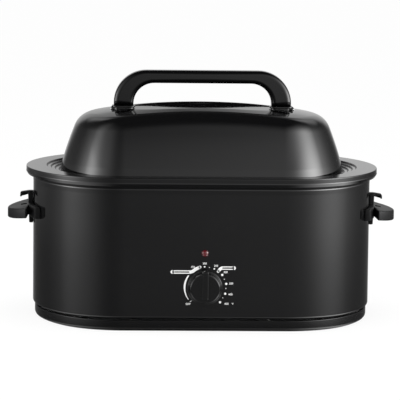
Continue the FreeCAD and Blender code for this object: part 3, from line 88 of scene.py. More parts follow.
class RoasterLid(bpy.types.PropertyGroup):
    """Lid and its handle."""

    inset: length("Edge inset", "Lid's edge inside the rim's outline", 55.6)
    sheet: length("Sheet", "Thickness of the lid", 1.0)
    band: length("Band", "Upright band above the edge", 16.0)
    crown: length("Crown", "Top of the crown above the table", 339.0)
    crown_radius: length("Crown radius", "Radius of the crown's sphere", 1130.0)
    shoulder: length("Shoulder", "Radius where the crown meets the wall", 34.0)
    dish_floor: length("Finger recess", "Floor of the recess under the handle", 331.8)
    dish_half_width: length("Recess half width", "Front to middle", 63.0)
    half_span: length("Handle half span", "Middle to the outside of a leg", 142.0)
    handle_top: length("Handle top", "Top of the grip above the table", 392.5)
    grip: length("Grip", "Height of the grip bar", 20.3)
    leg: length("Leg", "Width of a leg at its foot", 31.5)
    depth: length("Handle depth", "Front to back of the handle", 30.0)


class RoasterDial(bpy.types.PropertyGroup):
    """Knob, dial marks and lamp."""

    height: length("Dial height", "Knob's middle above the table", 69.5)
    skirt: length("Skirt", "Radius of the knob's skirt", 27.0)
    numerals: length("Numerals", "Height of the numbers", 4.3)
    lamp: length("Lamp height", "Lamp's middle above the table", 122.9)


class RoasterFinish(bpy.types.PropertyGroup):
    """Colours and gloss."""

    enamel: colour("Enamel", "Shell, lid and pan", (0.0032, 0.0032, 0.0034))
    plastic: colour("Plastic", "Handles, knob and tray", (0.0022, 0.0022, 0.0024))
    marks: colour("Marks", "Printed dial marks", (0.86, 0.86, 0.85))
    lens: colour("Lens", "Indicator lamp", (0.11, 0.004, 0.008))
    floor: colour("Floor", "Floor and backdrop", (0.96, 0.96, 0.96))
    gloss: FloatProperty(
        name="Enamel roughness", description="Roughness of the enamel", default=0.06, min=0, max=1
    )


def sizes():
    """The sizes of the plan, the lid and the dial."""
    scene = bpy.context.scene
    return scene.roaster_plan, scene.roaster_lid, scene.roaster_dial


# ---------------------------------------------------------------- meshes


def mm(*rows):
    """Rows of millimetres as an array in metres."""
    return np.array(rows, float) * MM


def put_object(name, data):
    """A new object in the scene."""
    made = bpy.data.objects.new(name, data)
    bpy.context.scene.collection.objects.link(made)
    return made


@contextmanager
def reworked(mesh):
    """Opens a mesh for mesh operators and writes it back."""
    work = bmesh.new()
    work.from_mesh(mesh)
    yield work
    work.to_mesh(mesh)
    work.free()


def new_mesh(name, part):
    """A mesh from a part, which is a pair of points and faces."""
    points, faces = part
    mesh = bpy.data.meshes.new(name)
    mesh.from_pydata(np.reshape(points, (-1, 3)).tolist(), [], faces)
    return mesh


def read_mesh(mesh):
    """A mesh's points and faces as a part."""
    points = np.empty(len(mesh.vertices) * 3)
    mesh.vertices.foreach_get("co", points)
    return points.reshape(-1, 3), [list(face.vertices) for face in mesh.polygons]


def put_mesh(name, part, body, finish, node=None, smooth=True, weld=1e-7):
    """Puts a part into a mesh, closes its seams, turns its faces outwards, rides it on a
    body and paints it."""
    mesh = new_mesh(name, part)
    with reworked(mesh) as work:
        bmesh.ops.remove_doubles(work, verts=work.verts, dist=weld)
        bmesh.ops.dissolve_degenerate(work, edges=work.edges, dist=weld)
        bmesh.ops.recalc_face_normals(work, faces=work.faces)
    mesh.polygons.foreach_set("use_smooth", [smooth] * len(mesh.polygons))
    piece = put_object(name, mesh)
    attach(piece, body)
    if node:
        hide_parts(node)
    return paint(piece, finish)


def rounded_copy(node, finish):
    """A CAD node of the base, its mesh merged and smoothly shaded up to its sharp edges."""
    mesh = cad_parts[node].data.copy()
    flat, sharp = math.radians(0.5), math.radians(28)
    with reworked(mesh) as work:
        bmesh.ops.remove_doubles(work, verts=work.verts, dist=1e-6)
        bmesh.ops.dissolve_limit(work, angle_limit=flat, verts=work.verts, edges=work.edges)
        bmesh.ops.triangulate(work, faces=[f for f in work.faces if len(f.verts) > 4])
        for face in work.faces:
            face.smooth = True
        for edge in work.edges:
            edge.smooth = len(edge.link_faces) < 2 or edge.calc_face_angle(0) < sharp
    if "custom_normal" in mesh.attributes:
        mesh.attributes.remove(mesh.attributes["custom_normal"])
    piece = put_object(node + "_dressed", mesh)
    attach(piece, "base")
    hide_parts(node)
    return paint(piece, finish)


def carved(part, cutter):
    """A closed part less a closed cutter, as an exact boolean, because what is left is no
    surface of two parameters."""
    pieces = []
    for some in (part, cutter):
        mesh = new_mesh("carving", some)
        with reworked(mesh) as work:
            bmesh.ops.recalc_face_normals(work, faces=work.faces)
        pieces.append(put_object("carving", mesh))
    cut = pieces[0].modifiers.new("cut", "BOOLEAN")
    cut.operation, cut.solver, cut.object = "DIFFERENCE", "EXACT", pieces[1]
    bpy.context.view_layer.update()
    view = bpy.context.evaluated_depsgraph_get()
    made = read_mesh(bpy.data.meshes.new_from_object(pieces[0].evaluated_get(view)))
    for piece in pieces:
        bpy.data.objects.remove(piece)
    return made


# ---------------------------------------------------------------- surfaces


def grid(rows, wrap=False, caps=False):
    """A part from rows of points: quads from point to point round each row and from row to
    row. Wrap joins the last row to the first, and caps close both end rows flat."""
    count, columns = rows.shape[:2]
    i, j = np.arange(count if wrap else count - 1)[:, None], np.arange(columns)[None, :]
    near, far, beside = i * columns, ((i + 1) % count) * columns, (j + 1) % columns
    quads = np.stack([near + j, near + beside, far + beside, far + j], -1)
    faces = quads.reshape(-1, 4).tolist()
    if caps:
        faces.append(list(range(columns))[::-1])
        faces.append([(count - 1) * columns + k for k in range(columns)])
    return rows.reshape(-1, 3), faces


def gather(*parts):
    """Several parts as one."""
    points, faces, start = [], [], 0
    for some, more in parts:
        points.append(some)
        faces += [[index + start for index in face] for face in more]
        start += len(some)
    return np.concatenate(points), faces


def mirrored(part):
    """A part with its X turned round."""
    points, faces = part
    return points * np.array([-1.0, 1.0, 1.0]), faces


def placed(part):
    """A part shifted from the oven's middle line to the frame's origin."""
    points, faces = part
    return points + np.array([0, sizes()[0].middle_y, 0]), faces


def bend(corners, steps=6, closed=False, guard=0.25 * MM):
    """A line through corners (a, b, radius) with its corners rounded: each becomes an arc
    tangent to both sides, and a guard point on each side keeps the flats flat."""
    points = np.array([c[:2] for c in corners], float)
    radii = [c[2] for c in corners]
    line = []
    count = len(corners)
    for k in range(count):
        here = points[k]
        if radii[k] <= 0 or (not closed and k in (0, count - 1)):
            line.append(here)
            continue
        back, on = points[k - 1] - here, points[(k + 1) % count] - here
        back_length, on_length = np.linalg.norm(back), np.linalg.norm(on)
        back, on = back / back_length, on / on_length
        half = math.acos(np.clip(back @ on, -1, 1)) / 2
        reach = radii[k] / math.tan(half)
        middle = here + (back + on) / np.linalg.norm(back + on) * radii[k] / math.sin(half)
        first, last = here + back * reach - middle, here + on * reach - middle
        sweep = math.pi - 2 * half
        turn = np.sign(first[0] * last[1] - first[1] * last[0])
        if reach + guard < back_length:
            line.append(here + back * (reach + guard))
        angles = np.linspace(0, sweep, steps + 1)[:, None] * turn
        aside = np.array([-first[1], first[0]])
        line += list(middle + first * np.cos(angles) + aside * np.sin(angles))
        if reach + guard < on_length:
            line.append(here + on * (reach + guard))
    return np.array(line)


def arc(radius, half, count):
    """Points of a circle about the origin that face +X, between -half and half in Y: the
    radius times the cosine and the sine of even angles."""
    lean = math.asin(half / radius)
    angles = np.linspace(-lean, lean, count)
    return np.stack([radius * np.cos(angles), radius * np.sin(angles)], 1)


def plan_middles():
    """X of an end arc's middle, then X and Y of a corner arc's middle, which lies where
    both arcs touch each other and the corner arc touches the straight side."""
    plan = sizes()[0]
    end_x = plan.half_length - plan.end_radius
    rise, reach = plan.half_depth - plan.corner_radius, plan.end_radius - plan.corner_radius
    return end_x, end_x + math.sqrt(reach * reach - rise * rise), rise


def plan_outline(inset=0.0):
    """The plan outline as points and outward normals: straight sides, end arcs of
    end_radius about the middle line and corner arcs tangent to both. A parallel wall at
    an inset is the outline less its normal times the inset. The front and one end are
    worked out, and the rest is the same turned half round."""
    plan = sizes()[0]
    side, corner, end = 28, 26, 44  # steps along each
    end_x, corner_x, rise = plan_middles()
    lean = math.atan2(rise, corner_x - end_x)
    front = np.linspace(-corner_x, corner_x, side + 1)
    turns = np.linspace(-math.pi / 2, -lean, corner + 1)[1:]
    ends = np.linspace(-lean, lean, end + 1)[1:]
    parts = [np.stack([front, np.full(front.size, -plan.half_depth)], 1)]
    normals = [np.tile([0.0, -1.0], (front.size, 1))]
    for angles, x, y, radius in (
        (turns, corner_x, -rise, plan.corner_radius),
        (ends, end_x, 0.0, plan.end_radius),
        (np.append(-turns[-2::-1], math.pi / 2), corner_x, rise, plan.corner_radius),
    ):
        way = np.stack([np.cos(angles), np.sin(angles)], 1)
        parts.append(np.array([x, y]) + way * radius)
        normals.append(way)
    points, facing = np.concatenate(parts)[1:], np.concatenate(normals)[1:]
    points, facing = np.concatenate([points, -points]), np.concatenate([facing, -facing])
    return points - facing * inset, facing


def carried(profile, points, facing):
    """Carries a profile of (inset, height) rows round the outline. Row v, column u is the
    outline's point u moved inwards by the row's inset, at the row's height."""
    insets, heights = profile[:, 0], profile[:, 1]
    flat = points[None] - facing[None] * insets[:, None, None]
    level = np.broadcast_to(heights[:, None, None], flat.shape[:2] + (1,))
    return np.concatenate([flat, level], 2)


def to_middle(row):
    """Rows from a closed row to the middle line: each point moves straight towards the
    nearest point of a short line along X, which closes the surface."""
    steps, half = 8, 60 * MM
    target = row.copy()
    target[:, 0] = np.clip(row[:, 0], -half, half)
    target[:, 1] = 0
    share = np.linspace(0, 1, steps + 1)[1:, None, None]
    return row[None] + (target[None] - row[None]) * share


def plate(outline, low, high, edge=1.2 * MM, steps=4, upright=False):
    """A closed flat outline given a thickness from low to high, its rims rounded: rows
    step over the edge radius along a quarter circle, and flat caps close both faces. The
    outline lies in X and Y, or in X and Z when it is upright."""
    ahead, behind = np.roll(outline, -1, 0), np.roll(outline, 1, 0)
    along = ahead - behind
    along /= np.linalg.norm(along, axis=1)[:, None]
    area = np.sum(outline[:, 0] * ahead[:, 1] - outline[:, 1] * ahead[:, 0])
    out = np.stack([along[:, 1], -along[:, 0]], 1) * np.sign(area)
    angles = np.linspace(0, math.pi / 2, steps + 1)
    inset, drop = edge * (1 - np.sin(angles)), edge * (1 - np.cos(angles))
    guard = [edge + 0.2 * MM]
    insets = np.concatenate([guard, inset, inset[::-1], guard])
    levels = np.concatenate([[low], low + drop, high - drop[::-1], [high]])
    flat = outline[None] - out[None] * insets[:, None, None]
    height = np.broadcast_to(levels[:, None], flat.shape[:2])
    order = (flat[..., 0], height, flat[..., 1]) if upright else (*np.moveaxis(flat, 2, 0), height)
    return grid(np.stack(order, -1), caps=True)


def turned(profile, middle, axis="Y", columns=64):
    """A profile of (radius, distance along the axis) turned about an axis along Y or X: the
    radius times the cosine and the sine of even angles. A radius of nothing at either end
    closes it."""
    angles = np.linspace(0, 2 * math.pi, columns, endpoint=False)
    ring = np.stack([np.cos(angles), np.sin(angles)])
    first, second = ring[:, None] * profile[:, 0][:, None]
    level = np.broadcast_to(profile[:, 1][:, None], first.shape)
    rows = np.stack([first, level, second] if axis == "Y" else [level, first, second], -1)
    return grid(rows + np.array(middle))


def domed(radius, start, shoulder, rise, steps):
    """Profile of a stud: a flat end at start, a straight side to the shoulder, and over it
    a dome, a quarter of an ellipse as high as rise."""
    angles = np.linspace(0, math.pi / 2, steps)
    dome = np.stack([radius * np.cos(angles), shoulder + rise * np.sin(angles)], 1)
    return np.concatenate([[(0, start), (radius, start)], dome])


def wire(path, radius, columns=12, closed=False):
    """A round wire carried along a path: a ring of points square to the path at each of
    its points, with flat caps where it is open."""
    path = np.asarray(path, float)
    ahead, behind = np.roll(path, -1, 0), np.roll(path, 1, 0)
    if not closed:
        ahead[-1], behind[0] = path[-1], path[0]
    along = ahead - behind
    along /= np.linalg.norm(along, axis=1)[:, None]
    spare = np.where(np.abs(along[:, 2:]) > 0.9, [[1.0, 0, 0]], [[0, 0, 1.0]])
    across = np.cross(along, spare)
    across /= np.linalg.norm(across, axis=1)[:, None]
    third = np.cross(along, across)
    angles = np.linspace(0, 2 * math.pi, columns, endpoint=False)[:, None]
    ring = across[:, None] * np.cos(angles) + third[:, None] * np.sin(angles)
    return grid(path[:, None] + ring * radius, wrap=closed, caps=not closed)


# ---------------------------------------------------------------- materials


def plug(tree, socket, value):
    """Links another socket into an input, or sets the input to a plain value."""
    if isinstance(value, bpy.types.NodeSocket):
        tree.links.new(value, socket)
    else:
        socket.default_value = value


def add(tree, kind, **values):
    """A shader node. A name that is one of its inputs plugs that input, and any other is
    one of its own settings, which come first."""
    node = tree.nodes.new("ShaderNode" + kind)
    for key, value in values.items():
        name = key.replace("_", " ")
        if name in node.inputs:
            plug(tree, node.inputs[name], value)
        else:
            setattr(node, key, value)
    return node


def maths(tree, operation, *terms, clamp=False):
    """The result of a Math node whose terms are sockets or numbers."""
    node = add(tree, "Math", operation=operation, use_clamp=clamp)
    for socket, term in zip(node.inputs, terms):
        plug(tree, socket, term)
    return node.outputs[0]


def remapped(tree, value, from_low, from_high, low, high):
    """A value moved from one range to another and held inside it."""
    node = add(tree, "MapRange", Value=value, From_Min=from_low, From_Max=from_high,
               To_Min=low, To_Max=high)
    return node.outputs["Result"]


def texture(tree, kind, output, **values):
    """A texture on the object's own coordinates."""
    place = add(tree, "TexCoord").outputs["Object"]
    return add(tree, kind, Vector=place, **values).outputs[output]


def mixed(tree, share, first, second):
    """A colour between two colours."""
    node = add(tree, "Mix", data_type="RGBA", Factor=share, A=(*first, 1), B=(*second, 1))
    return node.outputs["Result"]


def bumped(tree, height, depth):
    """A normal from heights that are depth millimetres high."""
    return add(tree, "Bump", Strength=1.0, Distance=depth * MM, Height=height).outputs["Normal"]


def new_group(name, inputs, outputs):
    """A shader node group with its inputs' defaults, and what it is given and puts out."""
    group = bpy.data.node_groups.new(name, "ShaderNodeTree")
    for socket, value in inputs.items():
        kind = "NodeSocketVector" if isinstance(value, tuple) else "NodeSocketFloat"
        made = group.interface.new_socket(socket, in_out="INPUT", socket_type=kind)
        made.default_value = value
    for socket in outputs:
        group.interface.new_socket(socket, in_out="OUTPUT", socket_type="NodeSocketFloat")
    into, out = group.nodes.new("NodeGroupInput"), group.nodes.new("NodeGroupOutput")
    return group, into.outputs, out.inputs


def placed_group(tree, make, **values):
    """A node group, made by its first user, placed in a material with its values."""
    group = bpy.data.node_groups.get(make.__name__) or make()
    node = add(tree, "Group", node_tree=group)
    for key, value in values.items():
        plug(tree, node.inputs[key.replace("_", " ")], value)
    return node.outputs


def surface_skin():
    """Flow of a fired or moulded surface. Height is long soft waves plus grain times a fine
    peel; roughness is its own value times 0.88 to 1.25 by a cloudy haze; dust is the
    middles of small cells where the haze is over 0.62."""
    group, given, out = new_group(
        "surface_skin",
        {"Wave Scale": 30.0, "Grain Scale": 900.0, "Grain": 0.2, "Dust": 0.1, "Roughness": 0.15},
        ("Height", "Roughness", "Dust Mask"),
    )
    waves = texture(
        group, "TexNoise", "Fac", Scale=given["Wave Scale"], Detail=1.5, Roughness=0.4
    )
    peel = texture(
        group, "TexNoise", "Fac", Scale=given["Grain Scale"], Detail=3.0, Roughness=0.6
    )
    haze = texture(group, "TexNoise", "Fac", Scale=9.0, Detail=5.0, Roughness=0.62)
    cells = texture(group, "TexVoronoi", "Distance", Scale=420.0)
    fine = maths(group, "MULTIPLY", peel, given["Grain"])
    spread = remapped(group, haze, 0.3, 0.75, 0.88, 1.25)
    near = remapped(group, cells, 0.16, 0.06, 0.0, 1.0)
    specks = maths(group, "MULTIPLY", near, maths(group, "GREATER_THAN", haze, 0.62))
    plug(group, out["Height"], maths(group, "ADD", waves, fine))
    plug(group, out["Roughness"], maths(group, "MULTIPLY", spread, given["Roughness"]))
    plug(group, out["Dust Mask"], maths(group, "MULTIPLY", specks, given["Dust"]))
    return group


def drawn_metal():
    """Drawn or brushed metal: streaks along one direction, for height and roughness."""
    group, given, out = new_group(
        "drawn_metal", {"Stretch": (1.0, 1.0, 60.0), "Scale": 60.0}, ("Height", "Streak")
    )
    stretch = add(group, "VectorMath", operation="MULTIPLY")
    plug(group, stretch.inputs[0], add(group, "TexCoord").outputs["Object"])
    plug(group, stretch.inputs[1], given["Stretch"])
    streak = add(group, "TexNoise", Vector=stretch.outputs[0], Scale=given["Scale"], Detail=4.0,
                 Roughness=0.65)
    for name in ("Height", "Streak"):
        plug(group, out[name], streak.outputs["Fac"])
    return group


def new_material(name):
    """A material with Blender's own shader, and its node tree."""
    material = bpy.data.materials.new(name)
    material.use_nodes = True
    return material, material.node_tree


def shade(tree, **values):
    """Plugs the inputs of a material's shader."""
    for key, value in values.items():
        plug(tree, tree.nodes["Principled BSDF"].inputs[key.replace("_", " ")], value)


def skinned(name, tint, roughness, waves, depth, grain, grain_scale=900, specular=0.5, dust=0.15):
    """A coated or moulded finish: one tint, dust specks, and waves and grain in the gloss."""
    material, tree = new_material(name)
    skin = placed_group(tree, surface_skin, Wave_Scale=waves, Grain_Scale=grain_scale,
                        Grain=grain, Dust=dust, Roughness=roughness)
    dust_tint = (0.32, 0.31, 0.29)
    shade(tree, Normal=bumped(tree, skin["Height"], depth), Roughness=skin["Roughness"],
          Base_Color=mixed(tree, skin["Dust Mask"], tint, dust_tint))
    shade(tree, Specular_IOR_Level=specular)
    return material


def metal(name, tint, roughness, stretch, scale=60.0, depth=0.02):
    """Bare metal with drawing streaks, darker and smoother in the streaks' valleys."""
    material, tree = new_material(name)
    streaks = placed_group(tree, drawn_metal, Stretch=stretch, Scale=scale)
    streak = streaks["Streak"]
    shade(tree, Normal=bumped(tree, streaks["Height"], depth), Metallic=1.0,
          Roughness=remapped(tree, streak, 0.0, 1.0, roughness * 0.7, roughness * 1.4),
          Base_Color=mixed(tree, streak, [c * 0.85 for c in tint], tint))
    return material


def glass_fibre(name, tint, roughness):
    """Glass fibre blanket: warm off-white with a matted pile."""
    material, tree = new_material(name)
    shadow_tint, pile_height = (0.62, 0.52, 0.33), 1.2
    pile = texture(tree, "TexNoise", "Fac", Scale=260.0, Detail=8.0, Roughness=0.75)
    mats = texture(tree, "TexNoise", "Fac", Scale=35.0, Detail=4.0, Roughness=0.6)
    shade(tree, Base_Color=mixed(tree, mats, shadow_tint, tint), Roughness=roughness,
          Normal=bumped(tree, pile, pile_height))
    return material


def ribbed_lens(name, tint, roughness):
    """Red lens, moulded with fine ribs behind a clear skin."""
    material, tree = new_material(name)
    ribs = texture(tree, "TexWave", "Fac", Scale=260.0, Distortion=0.4)
    shade(tree, Base_Color=mixed(tree, ribs, [c * 0.55 for c in tint], tint),
          Roughness=roughness, Coat_Weight=0.6, Coat_Roughness=0.05)
    return material


def finish_of(key):
    """The material for a finish, made once: its kind, tint, roughness and other values,
    which for skinned are wave scale, bump depth in millimetres, grain, grain scale,
    specular level and dust, and for metal stretch, scale and depth."""
    name = "roaster_" + key
    if name in bpy.data.materials:
        return bpy.data.materials[name]
    tints = bpy.context.scene.roaster_finish
    enamel, plastic, gloss = tuple(tints.enamel), tuple(tints.plastic), tints.gloss
    near_black = (0.02, 0.02, 0.02)
    kind, tint, roughness, *rest = {
        "shell": (skinned, enamel, gloss * 1.25, 26, 0.012, 0.03),
        "lid": (skinned, enamel, gloss, 22, 0.010, 0.03),
        "pan": (skinned, enamel, gloss * 1.1, 40, 0.012, 0.05),
        "tray": (skinned, plastic, 0.2, 60, 0.006, 0.9, 2500, 0.35),
        "grip": (skinned, plastic, 0.07, 50, 0.004, 0.5, 2600, 0.35),
        "side_grip": (skinned, plastic, 0.42, 50, 0.004, 0.9, 2600, 0.2),
        "knob": (skinned, plastic, 0.08, 60, 0.004, 0.3, 2400),
        "rubber": (skinned, near_black, 0.62, 30, 0.03, 1.5, 1800),
        "case": (skinned, (0.42, 0.36, 0.27), 0.42, 30, 0.02, 1.0),
        "holder": (skinned, (0.7, 0.69, 0.64), 0.35, 30, 0.02, 0.7),
        "marks": (skinned, tuple(tints.marks), 0.5, 30, 0.004, 0.4, 900, 0.5, 0.0),
        "mark_dark": (skinned, near_black, 0.5, 30, 0.004, 0.2, 900, 0.5, 0.0),
        "blanket": (glass_fibre, (0.86, 0.82, 0.7), 0.9),
        "lens": (ribbed_lens, tuple(tints.lens), 0.12),
        "well": (metal, (0.52, 0.52, 0.51), 0.34, (1, 1, 30)),
        "heater": (metal, (0.36, 0.31, 0.27), 0.42, (1, 1, 25)),
        "shield": (metal, (0.82, 0.82, 0.83), 0.22, (1, 50, 1)),
        "pin": (metal, (0.7, 0.7, 0.7), 0.18, (1, 1, 1), 400, 0.001),
        "chrome": (metal, (0.78, 0.78, 0.78), 0.12, (30, 1, 1), 60, 0.004),
        "steel": (metal, (0.62, 0.61, 0.58), 0.3, (1, 1, 8), 60, 0.01),
    }[key]
    return kind(name, tint, roughness, *rest)


def paint(piece, key):
    """Gives a piece one finish."""
    piece.data.materials.clear()
    piece.data.materials.append(finish_of(key))
    return piece


# ---------------------------------------------------------------- oven walls


def build_shell():
    """Sheet carried round the outline: tucked in over the tray, with a bead and a flare
    under the rim."""
    out, sheet, flare, tuck = SHELL_INSET / MM, 1.0, 1.5, 4.5
    low, top = 20.2, 237.7
    corners = mm(
        (out + tuck, low, 0.3),
        (out, low, 4),
        (out, top - 24, 20),
        (out - 0.3, top - 17.2, 0.8),
        (out, top - 15.7, 0.8),
        (out - flare, top - 7.7, 4),
        (out - flare, top, 0),
        (out - flare + sheet, top, 0),
        (out - flare + sheet, top - 7.5, 8),
        (out + sheet, top - 15, 8),
        (out + sheet, low + sheet, 3),
        (out + tuck, low + sheet, 0.3),
    )
    part = grid(carried(bend(corners, closed=True), *plan_outline()), wrap=True)
    put_mesh("shell_wall", placed(part), "base", "shell", "outer_shell")


def pan_profile(under):
    """Rim, lip and terraces of the pan as corners in millimetres, from the lip's curl to
    the foot of the bowl; under is how far below the top skin this skin lies."""
    plan = sizes()[0]
    top, seat, lip, soft = plan.rim_top / MM, plan.seat / MM, 13.5, 0.9
    terraces, first, pitch, fall = 4, 33, 6.5, 2.2
    low, wall, foot = top - lip, 70.4 - under, 25 + under
    if under == 0:
        line = [(5.6, low, 0.3), (3.4, low, 1.2), (0.4, low + 4.7, 0.7), (0.75, low + 6.0, 0.7)]
        line.append((0.75, top, 1.3))
    else:
        line = [(3.6 + under, low + under / 2, 0.4), (0.4 + under, low + 5.2, 0.7)]
        line.append((0.75 + under, top - under, 0.4))
    for step in range(terraces):
        inset, level = first + pitch * step - under, top - fall * step - under
        line.append((inset, level, soft))
        if under == 0:
            line += [(inset + 0.6, level - 3.2, 0.3), (inset + 2.0, level - fall, 0.5)]
        else:
            line.append((inset + 0.7, level - fall, soft))
    line.append((wall, seat - under, 2.4))
    line.append((wall + 6, seat - BOWL_DEPTH - under, foot))
    return line


def build_pan():
    """One sheet: from the middle of the bowl's underside out over the rim and lip and
    back inside to the middle of the floor."""
    sheet, flat = 1.2, 32
    inside, below = pan_profile(0), pan_profile(sheet)
    foot = inside[-1][0] + flat
    corners = [(foot, below[-1][1], 0)] + below[::-1] + [(5.6, below[0][1], 0.3)]
    corners += inside + [(foot, inside[-1][1], 0)]
    rows = carried(bend(mm(*corners), steps=5), *plan_outline())
    rows = np.concatenate([to_middle(rows[0])[::-1], rows, to_middle(rows[-1])])
    put_mesh("pan_and_rim", placed(grid(rows)), "pan", "pan", "roasting_pan")


# ---------------------------------------------------------------- lid


def lid_rows(sheet):
    """Rows of one skin of the lid, edge to middle. The wall is the outline with a lean
    that grows evenly with the height, which bows it; the shoulder is an arc tangent to
    the wall's line and to the crown under it, found column by column; the crown is a
    sphere, cut by the level floor of the recess."""
    plan, lid, _ = sizes()
    top, radius = lid.crown - sheet, lid.shoulder - sheet
    points, facing = plan_outline(lid.inset + sheet)
    kink, foot = plan.seat + lid.band, 2.8 * MM
    low_lean, lean, rise = 0.28, 0.4016, 58 * MM
    line = foot + (low_lean - lean) * rise / 2
    tilt = math.atan(lean)

    def height(x, y):
        """Sphere of the crown: its top less the fall of a circle of the crown's radius."""
        size = lid.crown_radius
        return top - size + np.sqrt(size * size - x * x - y * y)

    def at(inset):
        """The crown's height at an inset, and its slope inwards there."""
        nudge = 0.5 * MM
        levels = []
        for amount in (inset, inset + nudge):
            flat = points - facing * amount[:, None]
            levels.append(height(flat[:, 0], flat[:, 1]))
        return levels[0], (levels[1] - levels[0]) / nudge

    contact = np.full(len(points), 60 * MM)
    for _ in range(12):
        z, slope = at(contact)
        norm = np.sqrt(1 + slope * slope)
        centre_z = z - radius / norm
        centre_i = line + lean * (centre_z - kink) + radius / math.cos(tilt)
        contact = centre_i - radius * slope / norm
    z, slope = at(contact)
    steep = math.pi / 2 - np.arctan(slope)
    low = bend(
        [(0, plan.seat, 0), (foot, kink, 40 * MM), (foot + low_lean * rise, kink + rise, 0)], 8
    )[:-1]
    if sheet == 0:
        hem = mm((0.35, 0.05), (-0.25, 0.4), (-0.45, 1.2), (-0.25, 2.0), (0.02, 2.6), (0.05, 3.4))
        low = np.concatenate([hem + np.array([0, plan.seat]), low[1:]])
    rows = [carried(low, points, facing)]
    angles = tilt + (steep - tilt)[None] * np.linspace(0, 1, 13)[:, None]
    inset = centre_i[None] - radius * np.cos(angles)
    level = centre_z[None] + radius * np.sin(angles)
    wall_top, wall_low = level[0], low[-1, 1]
    shares = np.linspace(0.1, 0.96, 8)[:, None]
    wall = wall_low + (wall_top - wall_low)[None] * shares
    up = wall - kink
    wall_inset = foot + low_lean * up + (lean - low_lean) * up * up / (2 * rise)
    for insets, levels in ((wall_inset, wall), (inset, level)):
        flat = points[None] - facing[None] * insets[..., None]
        rows.append(np.concatenate([flat, levels[..., None]], 2))
    rows.append(crown_rows(flat[-1], height, lid, sheet))
    return np.concatenate(rows)


def crown_rows(edge, height, lid, sheet):
    """Rows over the crown, from the shoulder to the recess's rim, down its soft wall and
    in to the middle line. Each point lies on a straight way from the edge to the recess's
    spine, a line along X; the recess takes over smoothly, by 6 t^5 - 15 t^4 + 10 t^3 of a
    share t that runs from 0 to 1 over its rim, and its floor meets the crown in a small
    rounding."""
    spine_half, rim, soft = 62 * MM, 1.4 * MM, 0.35 * MM
    half = lid.dish_half_width + sheet
    spine = np.stack([np.clip(edge[:, 0], -spine_half, spine_half), np.zeros(len(edge))], 1)
    reach = np.linalg.norm(edge - spine, axis=1)
    way = (edge - spine) / reach[:, None]
    near, inner = half + 4 * MM, half - 6 * MM
    outside = [reach * (1 - share) + near * share for share in np.linspace(0.02, 1, 8)]
    wall = np.concatenate([np.linspace(2.6, 1.7, 3), np.linspace(1.5, -1.5, 13), [-1.8, -2.8]])
    inside = np.concatenate([half + wall * MM, inner * (1 - np.linspace(0, 1, 16))])
    distance = np.concatenate([outside, np.tile(inside[:, None], len(edge))])
    flat = spine[None] + way[None] * distance[..., None]
    crown = height(flat[..., 0], flat[..., 1])
    floor_level = lid.dish_floor - sheet
    gap = crown - floor_level
    floor = floor_level + (gap - np.sqrt(gap * gap + soft * soft)) / 2 + soft * 0.02
    share = np.clip((half + rim - distance) / (2 * rim), 0, 1)
    share = share * share * share * (share * (6 * share - 15) + 10)
    level = crown + (np.minimum(floor, crown) - crown) * share
    return np.concatenate([flat, level[..., None]], 2)


def build_lid():
    """Inner skin from the crown's middle to the edge, outer skin back to the middle."""
    rows = np.concatenate([lid_rows(sizes()[1].sheet)[::-1], lid_rows(0.0)])
    put_mesh("lid_crown", placed(grid(rows)), "lid", "lid", "lid_dome")


def handle_rows():
    """Two lines, the arch's inside and outside, and between them a section at each step:
    a rectangle with rounded corners, as wide as the lines are apart and as deep as the
    handle, which gets less deep towards its feet."""
    lid = sizes()[1]
    foot, top, soft, slimmest = 335.4 * MM, lid.handle_top, 7.5 * MM, 0.72
    sides = []
    for x, high, radius in (
        (lid.half_span - lid.leg, top - lid.grip, 33 * MM),
        (lid.half_span, top, 52 * MM),
    ):
        rise, angles = np.linspace(0, 1, 5)[:, None], np.linspace(0, math.pi / 2, 17)[1:]
        leg = np.array([x, foot]) + rise * np.array([0, high - radius - foot])
        way = np.stack([np.cos(angles), np.sin(angles)], 1)
        turn = np.array([x - radius, high - radius]) + way * radius
        bar = np.hstack([np.linspace(1, 0, 9)[1:, None] * (x - radius), np.full((8, 1), high)])
        line = np.concatenate([leg, turn, bar])
        sides.append(np.concatenate([line, line[-2::-1] * np.array([-1.0, 1.0])]))
    inside, outside = sides
    width = np.linalg.norm(outside - inside, axis=1)
    shares = np.clip((outside[:, 1] - foot) / (high - radius - foot), 0, 1)
    depths = lid.depth / 2 * (slimmest + (1 - slimmest) * shares)
    rows = []
    for near, far, wide, deep in zip(inside, outside, width, depths):
        corners = ((0, -deep, soft), (wide, -deep, soft), (wide, deep, soft), (0, deep, soft))
        section = bend(corners, 7, closed=True, guard=0.3 * MM)
        flat = near + (far - near) * (section[:, :1] / wide)
        rows.append(np.stack([flat[:, 0], section[:, 1], flat[:, 1]], 1))
    return np.array(rows)


def build_lid_handle():
    """The arch's sections joined, with a flat end on each foot."""
    part = placed(grid(handle_rows(), caps=True))
    put_mesh("lid_grip", part, "lid", "grip", "lid_handle")


